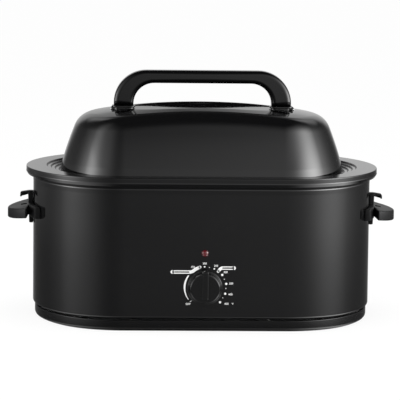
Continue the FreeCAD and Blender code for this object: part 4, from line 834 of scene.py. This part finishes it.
def build_feet():
    """Blocks under the lid handle's legs: each a rounded plate from the lid up to the leg
    with a wider rounded collar round its top, and a round boss on its outer face."""
    lid = sizes()[1]
    middle, wide, deep = lid.half_span - lid.leg / 2, lid.leg / 2 + 1 * MM, lid.depth / 2 - 2 * MM
    low, top, collar = 328.9 * MM, 335.2 * MM, 1.8 * MM
    face = middle + wide
    parts = []
    for grow, below, above in ((0, low, top), (collar, top - 2.2 * MM, top + 0.8 * MM)):
        x, y = wide + grow, deep + grow
        corners = [(middle - x, -y), (middle + x, -y), (middle + x, y), (middle - x, y)]
        outline = bend([(*corner, 8 * MM) for corner in corners], 8, closed=True)
        parts.append(plate(outline, below, above, 1.1 * MM))
    boss = domed(4.4 * MM, face - 6 * MM, face + 1.2 * MM, 2.4 * MM, 13)
    foot = gather(*parts, turned(boss, PIN_LINE, "X", 40))
    for side, part in (("right", foot), ("left", mirrored(foot))):
        node = side + "_handle_foot"
        put_mesh(node + "_block", placed(part), "lid", "knob", node)


def build_pins():
    """Bright domed pins in the middle of the bosses on the feet."""
    face = sizes()[1].half_span + 1 * MM
    pin = turned(domed(2.1 * MM, face - 10 * MM, face + 3.1 * MM, 1.1 * MM, 11), PIN_LINE, "X", 32)
    pins = placed(gather(pin, mirrored(pin)))
    put_mesh("foot_pins", pins, "lid", "pin", "handle_pins")


# ---------------------------------------------------------------- dial


DIAL_STEP = 1.55 * MM  # one step of the drawing of the dial's marks
DIAL_MIDDLE = (205.3, 286.8)  # the knob's axis in that drawing, whose second number runs down
DIAL_DOTS = (
    (1.2, (204.8, 265.8), (214.5, 267.8)),
    (1.8, (222.5, 273.9), (226.6, 282.9), (225.7, 292.9), (220.6, 301.5)),
    (0.7, (209.7, 266.5), (224.6, 278.3), (226.3, 287.6), (223.3, 297.1)),
)
DIAL_NUMBERS = (
    ("150", 193, 266.1), ("200", 204.9, 262.6), ("250", 216.2, 264.9), ("300", 225.8, 271.2),
    ("350", 231.4, 282.7), ("400", 230.9, 293.6), ("450", 227.0, 303.2), ("OFF", 188.7, 303.5),
)
DIAL_TABS = (
    ((172.7, 271.2), (190.6, 271.2), (193.2, 270.4), (196.0, 268.2), (200.2, 266.2)),
    ((234.2, 267.0), (222.0, 267.0), (220.4, 267.9), (218.5, 270.4)),
)


def front_wall():
    """Y of the shell's front face."""
    plan = sizes()[0]
    return plan.middle_y - plan.half_depth + SHELL_INSET


def spot(x, y):
    """A point of the marks' drawing as X and height from the knob's axis."""
    return (x - DIAL_MIDDLE[0]) * DIAL_STEP, (DIAL_MIDDLE[1] - y) * DIAL_STEP


def on_wall(flat, faces):
    """Moves a flat X, Z drawing about the dial to just in front of the shell."""
    level, proud = flat[:, 1] + sizes()[2].height, 0.06 * MM
    return np.stack([flat[:, 0], np.full(len(flat), front_wall() - proud), level], 1), faces


def disc(x, z, radius):
    """A flat round dot: points evenly round a circle, filled."""
    columns = 24
    angles = np.linspace(0, 2 * math.pi, columns, endpoint=False)
    flat = np.stack([x + radius * np.cos(angles), z + radius * np.sin(angles)], 1)
    return on_wall(flat, [list(range(columns))])


def stroke(path, widths):
    """A flat line of changing width along a path in the dial's plane: half the width to
    each side, square to the path."""
    path, widths = np.asarray(path, float), np.asarray(widths, float)
    along = np.gradient(path, axis=0)
    along /= np.linalg.norm(along, axis=1)[:, None]
    across = np.stack([-along[:, 1], along[:, 0]], 1) * widths[:, None] / 2
    count = len(path)
    faces = [[k, k + 1, count + k + 1, count + k] for k in range(count - 1)]
    return on_wall(np.concatenate([path + across, path - across]), faces)


def words(text, x, z, size):
    """A number or word as a flat mesh centred on a point of the dial's plane."""
    curve = bpy.data.curves.new("dial_text", "FONT")
    curve.body, curve.size, curve.align_x, curve.align_y = text, size, "CENTER", "CENTER"
    curve.offset = size * 0.012
    holder = put_object("dial_text", curve)
    bpy.context.view_layer.update()
    points, faces = read_mesh(bpy.data.meshes.new_from_object(holder))
    bpy.data.objects.remove(holder)
    return on_wall(points[:, :2] + np.array([x, z]), faces)


def build_dial_marks():
    """Dots, numbers, the tapering stroke and two blank tabs round the knob."""
    size = sizes()[2].numerals
    parts = [disc(*spot(*dot), radius * MM) for radius, *ring in DIAL_DOTS for dot in ring]
    parts += [words(text, *spot(x, y), size) for text, x, y in DIAL_NUMBERS]
    parts.append(words("°F", *spot(233.0, 303.2), size * 0.85))
    angles = np.radians(np.linspace(143, 217, 30))
    bow = np.stack([np.cos(angles), np.sin(angles)], 1) * 31.5 * MM
    widths = np.interp(np.linspace(0, 1, 30), [0, 0.1, 0.45, 1], [1.9, 2.3, 2.9, 0.7])
    parts.append(stroke(bow, widths * MM))
    parts.append(stroke([spot(190.4, 301.2), spot(192.3, 300.0)], [0.6 * MM] * 2))
    put_mesh("dial_marks", gather(*parts), "base", "marks", smooth=False)
    tabs, pips, ends = [], [], []
    wide, thin = 3.3 * DIAL_STEP, 1.4 * DIAL_STEP
    for route in DIAL_TABS:
        path = np.array([spot(*point) for point in route])
        widths = np.full(len(path), wide)
        widths[-1] = wide * 0.85
        tabs += [stroke(path, widths), disc(*path[0], wide / 2 * 1.12),
                 disc(*path[-1], wide / 2 * 0.85)]
        start = path[0] + (path[1] - path[0]) * 0.12
        pips.append(stroke([start, start + (path[1] - start) * 0.94], [thin] * 2))
        ends += [disc(*path[end], 0.7 * MM) for end in (0, -1)]
    put_mesh("dial_tabs", gather(*tabs), "base", "marks", smooth=False)
    points, faces = gather(*pips, *ends)
    points[:, 1] -= 0.03 * MM
    put_mesh("dial_pips", (points, faces), "base", "mark_dark", smooth=False)


def build_knob():
    """Skirt and barrel, a profile turned about the shaft's axis, and a bar across them."""
    dial = sizes()[2]
    back = front_wall() - 3 * MM
    front, face = back - 3 * MM, back - 15 * MM
    skirt = (
        (0, back, 0),
        (dial.skirt, back, 0.6 * MM),
        (dial.skirt, front, 1.2 * MM),
        (24.5 * MM, front, 0.5 * MM),
        (23.0 * MM, face, 1.8 * MM),
        (0, face, 0),
    )
    half, low, high, soft = 4.8 * MM, -15 * MM, dial.skirt + 1 * MM, 2 * MM
    corners = ((-half, low, soft), (half, low, soft), (half, high, soft), (-half, high, soft))
    bar = bend(corners, closed=True) + np.array([0, dial.height])
    grip = plate(bar, face - 9 * MM, front + 0.5 * MM, 1.5 * MM, 5, upright=True)
    knob = gather(turned(bend(skirt), (0, 0, dial.height), columns=96), grip)
    put_mesh("knob_and_grip", knob, "knob", "knob", "control_knob")


def build_lamp():
    """Lens turned about its axis: a stem in the wall, a low flange and a dome."""
    wall = front_wall()
    rim = mm((0, 3.5), (4.2, 3.5), (4.2, -0.05), (5.3, -0.05), (5.4, -0.3), (5.4, -0.8),
             (5.2, -1.1)) + np.array([0, wall])
    dome = domed(5 * MM, 0, wall - 1.2 * MM, -3.6 * MM, 17)[2:]
    lens = turned(np.concatenate([rim, dome]), (0, 0, sizes()[2].lamp), columns=48)
    put_mesh("lamp_lens", lens, "base", "lens", "indicator_lens")


# ---------------------------------------------------------------- side handles


def paddle_part():
    """Crescent grip: an arc outside, straight edges inside, sloped down to its tip, with
    a slot in its top that a lid's edge stands in. The arc's radius is half its chord
    squared plus its rise squared, over twice its rise."""
    wall, half, neck, soft = GRIP_WALL, 71, 17, 2.2
    tip, corner, root = wall + 40.6, wall + 8.4, wall + 6.5
    low, high, fall = 160.5 * MM, 176.5 * MM, 5.5 * MM
    rise = tip - corner
    radius = (half * half + rise * rise) / (2 * rise)
    bow = arc(radius, half, 33) + np.array([tip - radius, 0])
    rounds = np.zeros(len(bow))
    rounds[[0, -1]] = soft
    inner = [(root, neck, 1.5), (wall + 1, neck, 0), (wall + 1, -neck, 0), (root, -neck, 1.5)]
    outline = bend(mm(*np.column_stack([bow, rounds]), *inner), 4, closed=True, guard=0)
    points, faces = plate(outline, low, high, soft * MM, 5)
    start, end = (wall + 8) * MM, (tip + 1) * MM
    points[:, 2] -= np.clip((points[:, 0] - start) / (end - start), 0, None) * fall
    near, far, wide = wall + 9.8, wall + 19.8, 8.5
    slot = mm((near, -wide, 1.5), (far, -wide, 2.5), (far, wide, 2.5), (near, wide, 1.5))
    cutter = plate(bend(slot, 4, closed=True), 164 * MM, 182 * MM, 0.5 * MM, 2)
    return carved((points, faces), cutter)


def strap_part():
    """Upright that leans out a little, drawn from the side and given its width."""
    wall, thick, lean, low, top, half = GRIP_WALL, 6.2, 2, 146.5, 196, 10 * MM
    corners = mm((wall, low, 1), (wall + thick, low, 2), (wall + thick + lean, top, 1.5),
                 (wall, top, 1))
    return plate(bend(corners, 5, closed=True), -half, half, upright=True)


def hook_part():
    """Arm from the upright's top that slopes a little down and turns down at its end,
    narrower than the upright."""
    wall, reach, top, tip, half = GRIP_WALL, 21, 197.5, 2.5, 7 * MM
    corners = mm(
        (wall, top - 4.2, 0.8),
        (wall + reach - tip - 1, top - 5.6, 1.6),
        (wall + reach - tip, top - 9.4, 0.7),
        (wall + reach, top - 9.4, 0.7),
        (wall + reach - 0.6, top - 2.2, 2.4),
        (wall + 7, top, 2),
        (wall, top, 0.8),
    )
    return plate(bend(corners, 5, closed=True), -half, half, 0.7 * MM, upright=True)


def block_part():
    """Strip that hugs the end wall between two arcs about the wall's own centre."""
    plan = sizes()[0]
    gap, thick, half, low, high = 0.3 * MM, 8 * MM, 79 * MM, 160.5 * MM, 179 * MM
    inner = plan.end_radius - SHELL_INSET + gap
    bows = np.array([arc(inner + thick, half, 37), arc(inner, half, 37)[::-1]])
    bows[..., 0] += plan_middles()[0]
    rounds = np.zeros((2, 37, 1))
    rounds[:, [0, -1]] = 0.8 * MM
    corners = np.concatenate([bows, rounds], 2).reshape(-1, 3)
    return plate(bend(corners, 3, closed=True, guard=0), low, high)


def build_side_handles():
    """Grip, upright, hook and block as one moulding at each end, mirrored on the left."""
    right = gather(paddle_part(), strap_part(), hook_part(), block_part())
    for side, part in (("right", right), ("left", mirrored(right))):
        piece = put_mesh(side + "_grip_and_hook", placed(part), "base", "side_grip",
                         side + "_handle")
        piece.data.set_sharp_from_angle(angle=math.radians(40))


# ---------------------------------------------------------------- small and inner pieces


def build_rack():
    """Plated wires: a frame parallel to the pan's wall on four legs, cross wires that lie
    on it, and two upright loops."""
    plan = sizes()[0]
    inset, thick, thin, leg = 103.8 * MM, 2.5 * MM, 1.6 * MM, 2 * MM
    floor = plan.seat - BOWL_DEPTH * MM
    level = floor + 12 * MM
    above = level + thick + 0.3 * MM + thin
    half_depth, end_radius = plan.half_depth - inset, plan.end_radius - inset
    end_x, corner_x, _ = plan_middles()
    points, _ = plan_outline(inset)
    ring = np.hstack([points, np.full((len(points), 1), level)])
    frame_wires = [wire(ring, thick, closed=True)]
    for x in (-corner_x * 0.9, corner_x * 0.9):
        for y in (-half_depth, half_depth):
            frame_wires.append(wire([(x, y, floor + 0.3 * MM), (x, y, level)], leg))
    lean = 0.88  # cosine of the angle at which the outer cross wires meet the end arcs
    end, span = end_x + end_radius * lean, end_radius * math.sqrt(1 - lean * lean)
    runs = [(x, half_depth) for x in np.linspace(-corner_x, corner_x, 11)]
    runs += [(-end, span), (end, span)]
    across = [wire([(x, -y, above), (x, y, above)], thin, 10) for x, y in runs]
    low, half, tall, soft = above + thin + 0.05 * MM, 45 * MM, 60 * MM, 9 * MM
    loop = bend([(-half, low, 0), (-half, low + tall, soft), (half, low + tall, soft),
                 (half, low, 0)])
    loops = [wire([(x, y, z) for y, z in loop], leg) for x in (-end, end)]
    for name, node, some in (
        ("rack_ring", "roasting_rack", frame_wires),
        ("rack_cross_wires", "rack_wires", across),
        ("rack_loops", "rack_bails", loops),
    ):
        part = placed(gather(*some))
        put_mesh(name, part, "rack", "chrome", node, weld=1e-8)


def dress_tray():
    """A rounded copy of the tray with its lower edge let down to just above the table:
    what lies under a level is stretched down from that level."""
    mesh = rounded_copy("base_tray", "tray").data
    level, drop = 6.5 * MM, 1.2 * MM
    points, _ = read_mesh(mesh)
    base = points[:, 2].min()
    points[:, 2] -= drop * np.clip((level - points[:, 2]) / (level - base), 0, 1)
    mesh.vertices.foreach_set("co", points.ravel())
    mesh.update()


INNER_FINISHES = {
    "heating_well": "well",
    "heater_band": "heater",
    "heater_terminals": "steel",
    "insulation_blanket": "blanket",
    "heat_shield": "shield",
    "tie_studs": "steel",
    "tie_nuts": "steel",
    "thermostat_case": "case",
    "thermostat_screws": "steel",
    "thermostat_bracket": "steel",
    "thermostat_shaft": "steel",
    "lamp_holder": "holder",
    "side_screws": "steel",
    "lid_screws": "steel",
}


def dress_small():
    """Rounded copies of the moulded CAD pieces that show, and finishes for those inside."""
    dress_tray()
    rounded_copy("feet", "rubber")
    rounded_copy("cord_gland", "tray")
    for node, key in INNER_FINISHES.items():
        paint(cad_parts[node], key)


# ---------------------------------------------------------------- stage


def aim_camera():
    """Long lens from the front, a little above and to the left of the middle. It looks
    along a raised and turned line, rolled a little, and its axis is then moved so that the
    line meets the picture at its own centre."""
    pixels, focal, distance, sensor = 400.0, 2848.0, 4.59, 36.0
    raised, yaw, roll = math.radians(7.07), math.radians(2.06), math.radians(0.61)
    centre, height = (201.1, 220.6), 0.150
    level = math.cos(raised)
    ahead = Vector((math.sin(yaw) * level, math.cos(yaw) * level, -math.sin(raised)))
    place = Vector((0, sizes()[0].middle_y, height)) - ahead * distance
    right = ahead.cross(Vector((0, 0, 1))).normalized()
    up = right.cross(ahead)
    cos, sin = math.cos(roll), math.sin(roll)
    right, up = right * cos + up * sin, up * cos - right * sin
    aside = right * (pixels / 2 - centre[0]) + up * (centre[1] - pixels / 2)
    ahead = (ahead * focal + aside).normalized()
    right = (right - ahead * right.dot(ahead)).normalized()
    up = right.cross(ahead)
    data = bpy.data.cameras.new("camera")
    data.sensor_width, data.lens = sensor, focal / pixels * sensor
    data.clip_start, data.clip_end = 0.1, 60
    camera = put_object("camera", data)
    turn = Matrix((right, up, -ahead)).transposed()
    camera.matrix_world = Matrix.Translation(place) @ turn.to_4x4()
    bpy.context.scene.camera = camera


def lamp(name, place, size):
    """A soft rectangular light aimed at the oven, hidden from its gloss."""
    power, target = 30, (0, 0, 0.15)
    data = bpy.data.lights.new(name, "AREA")
    data.shape, data.size, data.size_y = "RECTANGLE", size[0], size[1]
    data.energy = power
    light = put_object(name, data)
    light.location = place
    light.rotation_euler = (Vector(target) - Vector(place)).to_track_quat("-Z", "Y").to_euler()
    light.visible_glossy = False


# The soft panels that the gloss sees: azimuth of the middle (0 is in front, 90 on the right,
# 180 behind), width, strength, and the share of it at each elevation, all in degrees.
NEAR_FLOOR = ((-90, 0), (-60, 0.04), (-45, 0.5), (-32, 1), (-24, 0.5), (-18, 0))
BEHIND = ((2, 0.3), (8, 1), (20, 1), (22.5, 0.25), (26, 0))
BESIDE = ((2, 0.3), (8, 1), (14, 1), (32, 0.9), (38, 0.5), (44, 0.2), (52, 0))
PANELS = (
    (71, 27, 11.4, ((3.2, 0.03), (5.8, 0.85), (8, 1), (22, 0.97), (27, 0.76), (33, 0.54),
                    (39, 0.41), (45, 0.25), (51, 0.13), (57, 0.06), (64, 0.01), (70, 0))),
    (70, 30, 1.7, ((-16, 0.05), (-9, 0.2), (-6, 0.38), (-3, 0.6), (0, 0.95), (3.5, 1), (6, 0))),
    (40, 25, 0.8, ((30, 0), (36, 0.6), (42, 1), (48, 0.9), (54, 0.6), (60, 0.3), (68, 0))),
    (-82, 20, 6.1, ((2.5, 0.03), (5.5, 0.9), (8, 1), (20, 0.95), (25, 0.8), (28, 0.5), (31, 0.34),
                    (36, 0.22), (45, 0.14), (54, 0.08), (62, 0.03), (70, 0))),
    (-76, 26, 0.95, ((-16, 0.05), (-9, 0.25), (-6, 0.45), (-3, 0.62), (0, 1), (3.5, 0.95),
                     (6, 0))),
    (-50, 20, 0.95, ((-16, 0.05), (-10, 0.15), (-6, 0.27), (3, 0.3), (7, 0.9), (12, 1), (30, 1),
                     (36, 0.8), (42, 0.55), (48, 0.3), (57, 0.12), (66, 0))),
    (15, 30, 0.85, ((-16, 0.05), (-10, 0.16), (-6, 0.27), (0, 0.3), (3, 0.36), (8, 0.85), (12, 1),
                    (27, 1), (33, 0.88), (39, 0.68), (45, 0.34), (50, 0.2), (56, 0.06), (64, 0))),
    (180, 14, 0.32, BEHIND),
    (-180, 14, 0.32, BEHIND),
    (163, 11, 0.55, BESIDE),
    (-163, 11, 0.5, BESIDE),
    (152, 7, 0.3, ((12, 0), (18, 1), (28, 1), (31, 0.4), (34, 0))),
    (-153, 7, 0.3, ((12, 0), (18, 1), (28, 1), (31, 0.3), (34, 0))),
    (143, 13, 0.85, ((30, 0), (35, 0.6), (44, 1), (53, 1), (56, 0.3), (60, 0))),
    (-148, 9, 0.66, ((30, 0), (36, 0.8), (44, 1), (51, 1), (54, 0.4), (58, 0))),
    (-128, 14, 0.1, ((-3, 0), (3, 1), (10, 1), (16, 0.5), (24, 0))),
    (75, 45, 5.0, NEAR_FLOOR),
    (-75, 45, 2.4, NEAR_FLOOR),
    (0, 60, 0.35, NEAR_FLOOR),
    (0, 900, 0.09, ((-90, 0.1), (-24, 0.3), (-10, 0.9), (0, 1), (20, 1), (50, 0.4), (72, 0.1))),
)


def soft_panel(tree, azimuth, height, middle, width, level, stops):
    """A soft glow on the dome: level times exp(-((azimuth - middle) / width)^2) times a
    ramp over the elevation. Stops are (degrees, share)."""
    away = maths(tree, "SUBTRACT", azimuth, math.radians(middle))
    away = maths(tree, "DIVIDE", away, math.radians(width))
    square = maths(tree, "MULTIPLY", away, away)
    bell = maths(tree, "EXPONENT", maths(tree, "MULTIPLY", square, -1.0))
    ramp = add(tree, "ValToRGB", Fac=height)
    marks = ramp.color_ramp.elements
    while len(marks) < len(stops):
        marks.new(0.5)
    for mark, (degrees, share) in zip(marks, stops):
        mark.position = (degrees + 90) / 180
        mark.color = (share, share, share, 1)
    glow = maths(tree, "MULTIPLY", bell, ramp.outputs["Color"])
    return maths(tree, "MULTIPLY", glow, level)


def stage_piece(name, part, material_name):
    """A piece of the stage with an empty material that isn't sampled as a light."""
    material, tree = new_material(material_name)
    material.cycles.emission_sampling = "NONE"
    tree.nodes.clear()
    mesh = new_mesh(name, part)
    mesh.materials.append(material)
    return put_object(name, mesh), tree


def build_dome():
    """Sphere round the set, seen by gloss alone: it shows the soft panels, tall and bright
    on both sides and fainter in front and behind."""
    radius, quarter = 1.6, math.pi / 2
    azimuths, levels = np.radians(np.arange(0, 360, 5.0)), np.radians(np.arange(-90, 91, 4.0))
    az, el = np.meshgrid(azimuths, levels)
    rows = np.stack([np.sin(az) * np.cos(el), -np.cos(az) * np.cos(el), np.sin(el)], -1)
    dome, tree = stage_piece("studio_dome", grid(rows * radius), "studio_dome")
    unit = add(tree, "VectorMath", operation="NORMALIZE")
    plug(tree, unit.inputs[0], add(tree, "TexCoord").outputs["Object"])
    way = add(tree, "SeparateXYZ", Vector=unit.outputs[0]).outputs
    azimuth = maths(tree, "ARCTAN2", way["X"], maths(tree, "MULTIPLY", way["Y"], -1.0))
    height = remapped(tree, maths(tree, "ARCSINE", way["Z"]), -quarter, quarter, 0.0, 1.0)
    glow = 0.0
    for panel in PANELS:
        glow = maths(tree, "ADD", glow, soft_panel(tree, azimuth, height, *panel))
    light = add(tree, "Emission", Strength=glow)
    add(tree, "OutputMaterial", Surface=light.outputs[0])
    dome.visible_camera = dome.visible_diffuse = False
    dome.visible_transmission = dome.visible_shadow = False


def white_to_the_eye(tree, under, white, share, output):
    """Mixes plain white over a surface or sky, by a share of 1 for camera, gloss and glass
    rays and 0 for others, times the share given, and puts the mix out."""
    ray = add(tree, "LightPath").outputs
    seen = maths(tree, "ADD", ray["Is Camera Ray"], ray["Is Glossy Ray"], clamp=True)
    seen = maths(tree, "ADD", seen, ray["Is Transmission Ray"], clamp=True)
    mix = add(tree, "MixShader", Fac=maths(tree, "MULTIPLY", seen, share))
    for socket, node in zip(mix.inputs[1:], (under, white)):
        plug(tree, socket, node.outputs[0])
    add(tree, output, Surface=mix.outputs[0])


def build_floor():
    """A wide flat sheet just under the feet, white to the eye and shaded by the object."""
    half, below, share = 40.0, -0.3 * MM, 0.88
    corners = [(-half, -half, below), (half, -half, below), (half, half, below),
               (-half, half, below)]
    floor, tree = stage_piece("floor", (corners, [[0, 1, 2, 3]]), "floor_white")
    matt = add(tree, "BsdfDiffuse", Color=(*bpy.context.scene.roaster_finish.floor, 1))
    white_to_the_eye(tree, matt, add(tree, "Emission"), share, "OutputMaterial")
    floor.visible_glossy = False


def build_stage():
    """White sky with a plain fill, two soft lights, the floor, the dome and the camera."""
    scene, white, fill = bpy.context.scene, (1, 1, 1, 1), 0.9
    scene.view_settings.view_transform = "Standard"
    scene.world = bpy.data.worlds.new("studio")
    scene.world.use_nodes = True
    tree = scene.world.node_tree
    tree.nodes.clear()
    skies = [add(tree, "Background", Color=white, Strength=level) for level in (fill, 1.0)]
    white_to_the_eye(tree, *skies, 1.0, "OutputWorld")
    lamp("front_light", (-0.6, -3.0, 1.6), (2.4, 1.6))
    lamp("top_light", (0.2, -0.3, 2.6), (2.4, 2.0))
    build_floor()
    build_dome()
    aim_camera()


# ---------------------------------------------------------------- operators


class ROASTER_OT_shell(bpy.types.Operator):
    """Build the oven's outer wall"""

    bl_idname = "roaster.shell"
    bl_label = "Shell"

    def execute(self, context):
        build_shell()
        return {"FINISHED"}


class ROASTER_OT_pan(bpy.types.Operator):
    """Build the lift-out pan with its rim"""

    bl_idname = "roaster.pan"
    bl_label = "Pan and Rim"

    def execute(self, context):
        build_pan()
        return {"FINISHED"}


class ROASTER_OT_lid(bpy.types.Operator):
    """Build the lid"""

    bl_idname = "roaster.lid"
    bl_label = "Lid"

    def execute(self, context):
        build_lid()
        return {"FINISHED"}


class ROASTER_OT_lid_handle(bpy.types.Operator):
    """Build the lid's handle, its feet and their pins"""

    bl_idname = "roaster.lid_handle"
    bl_label = "Lid Handle"

    def execute(self, context):
        build_lid_handle()
        build_feet()
        build_pins()
        return {"FINISHED"}


class ROASTER_OT_dial(bpy.types.Operator):
    """Build the knob, the dial's marks and the lamp's lens"""

    bl_idname = "roaster.dial"
    bl_label = "Dial and Lamp"

    def execute(self, context):
        build_knob()
        build_dial_marks()
        build_lamp()
        return {"FINISHED"}


class ROASTER_OT_side_handles(bpy.types.Operator):
    """Build the grip and hook at each end"""

    bl_idname = "roaster.side_handles"
    bl_label = "Side Handles"

    def execute(self, context):
        build_side_handles()
        return {"FINISHED"}


class ROASTER_OT_rack(bpy.types.Operator):
    """Build the wire rack"""

    bl_idname = "roaster.rack"
    bl_label = "Rack"

    def execute(self, context):
        build_rack()
        return {"FINISHED"}


class ROASTER_OT_small_pieces(bpy.types.Operator):
    """Dress the tray, feet and cord gland, and finish the inner pieces"""

    bl_idname = "roaster.small_pieces"
    bl_label = "Small and Inner Pieces"

    def execute(self, context):
        dress_small()
        return {"FINISHED"}


class ROASTER_OT_stage(bpy.types.Operator):
    """Set the floor, the light and the camera"""

    bl_idname = "roaster.stage"
    bl_label = "Stage"

    def execute(self, context):
        build_stage()
        return {"FINISHED"}


class ROASTER_PT_panel(bpy.types.Panel):
    """Lists the sizes and the pieces"""

    bl_label = "Roaster Oven"
    bl_idname = "ROASTER_PT_panel"
    bl_space_type = "VIEW_3D"
    bl_region_type = "UI"
    bl_category = "Roaster"

    def draw(self, context):
        layout = self.layout
        for name, _ in GROUPS:
            box = layout.box()
            group = getattr(context.scene, name)
            box.label(text=name.replace("_", " ").title())
            for key in group.bl_rna.properties.keys():
                if key not in ("rna_type", "name"):
                    box.prop(group, key)
        for operator in OPERATORS:
            layout.operator(operator.bl_idname)


GROUPS = (
    ("roaster_plan", RoasterPlan),
    ("roaster_lid", RoasterLid),
    ("roaster_dial", RoasterDial),
    ("roaster_finish", RoasterFinish),
)
OPERATORS = (
    ROASTER_OT_shell,
    ROASTER_OT_pan,
    ROASTER_OT_lid,
    ROASTER_OT_lid_handle,
    ROASTER_OT_dial,
    ROASTER_OT_side_handles,
    ROASTER_OT_rack,
    ROASTER_OT_small_pieces,
    ROASTER_OT_stage,
)


def register():
    """Registers the sizes, the operators and the panel."""
    for name, group in GROUPS:
        bpy.utils.register_class(group)
        setattr(bpy.types.Scene, name, PointerProperty(type=group))
    for operator in OPERATORS:
        bpy.utils.register_class(operator)
    bpy.utils.register_class(ROASTER_PT_panel)


def unregister():
    """Takes all of them away again."""
    bpy.utils.unregister_class(ROASTER_PT_panel)
    for operator in reversed(OPERATORS):
        bpy.utils.unregister_class(operator)
    for name, group in reversed(GROUPS):
        delattr(bpy.types.Scene, name)
        bpy.utils.unregister_class(group)


def main():
    """Builds every piece and the stage."""
    register()
    bpy.ops.roaster.shell()
    bpy.ops.roaster.pan()
    bpy.ops.roaster.lid()
    bpy.ops.roaster.lid_handle()
    bpy.ops.roaster.dial()
    bpy.ops.roaster.side_handles()
    bpy.ops.roaster.rack()
    bpy.ops.roaster.small_pieces()
    bpy.ops.roaster.stage()


if __name__ == "__main__":
    main()
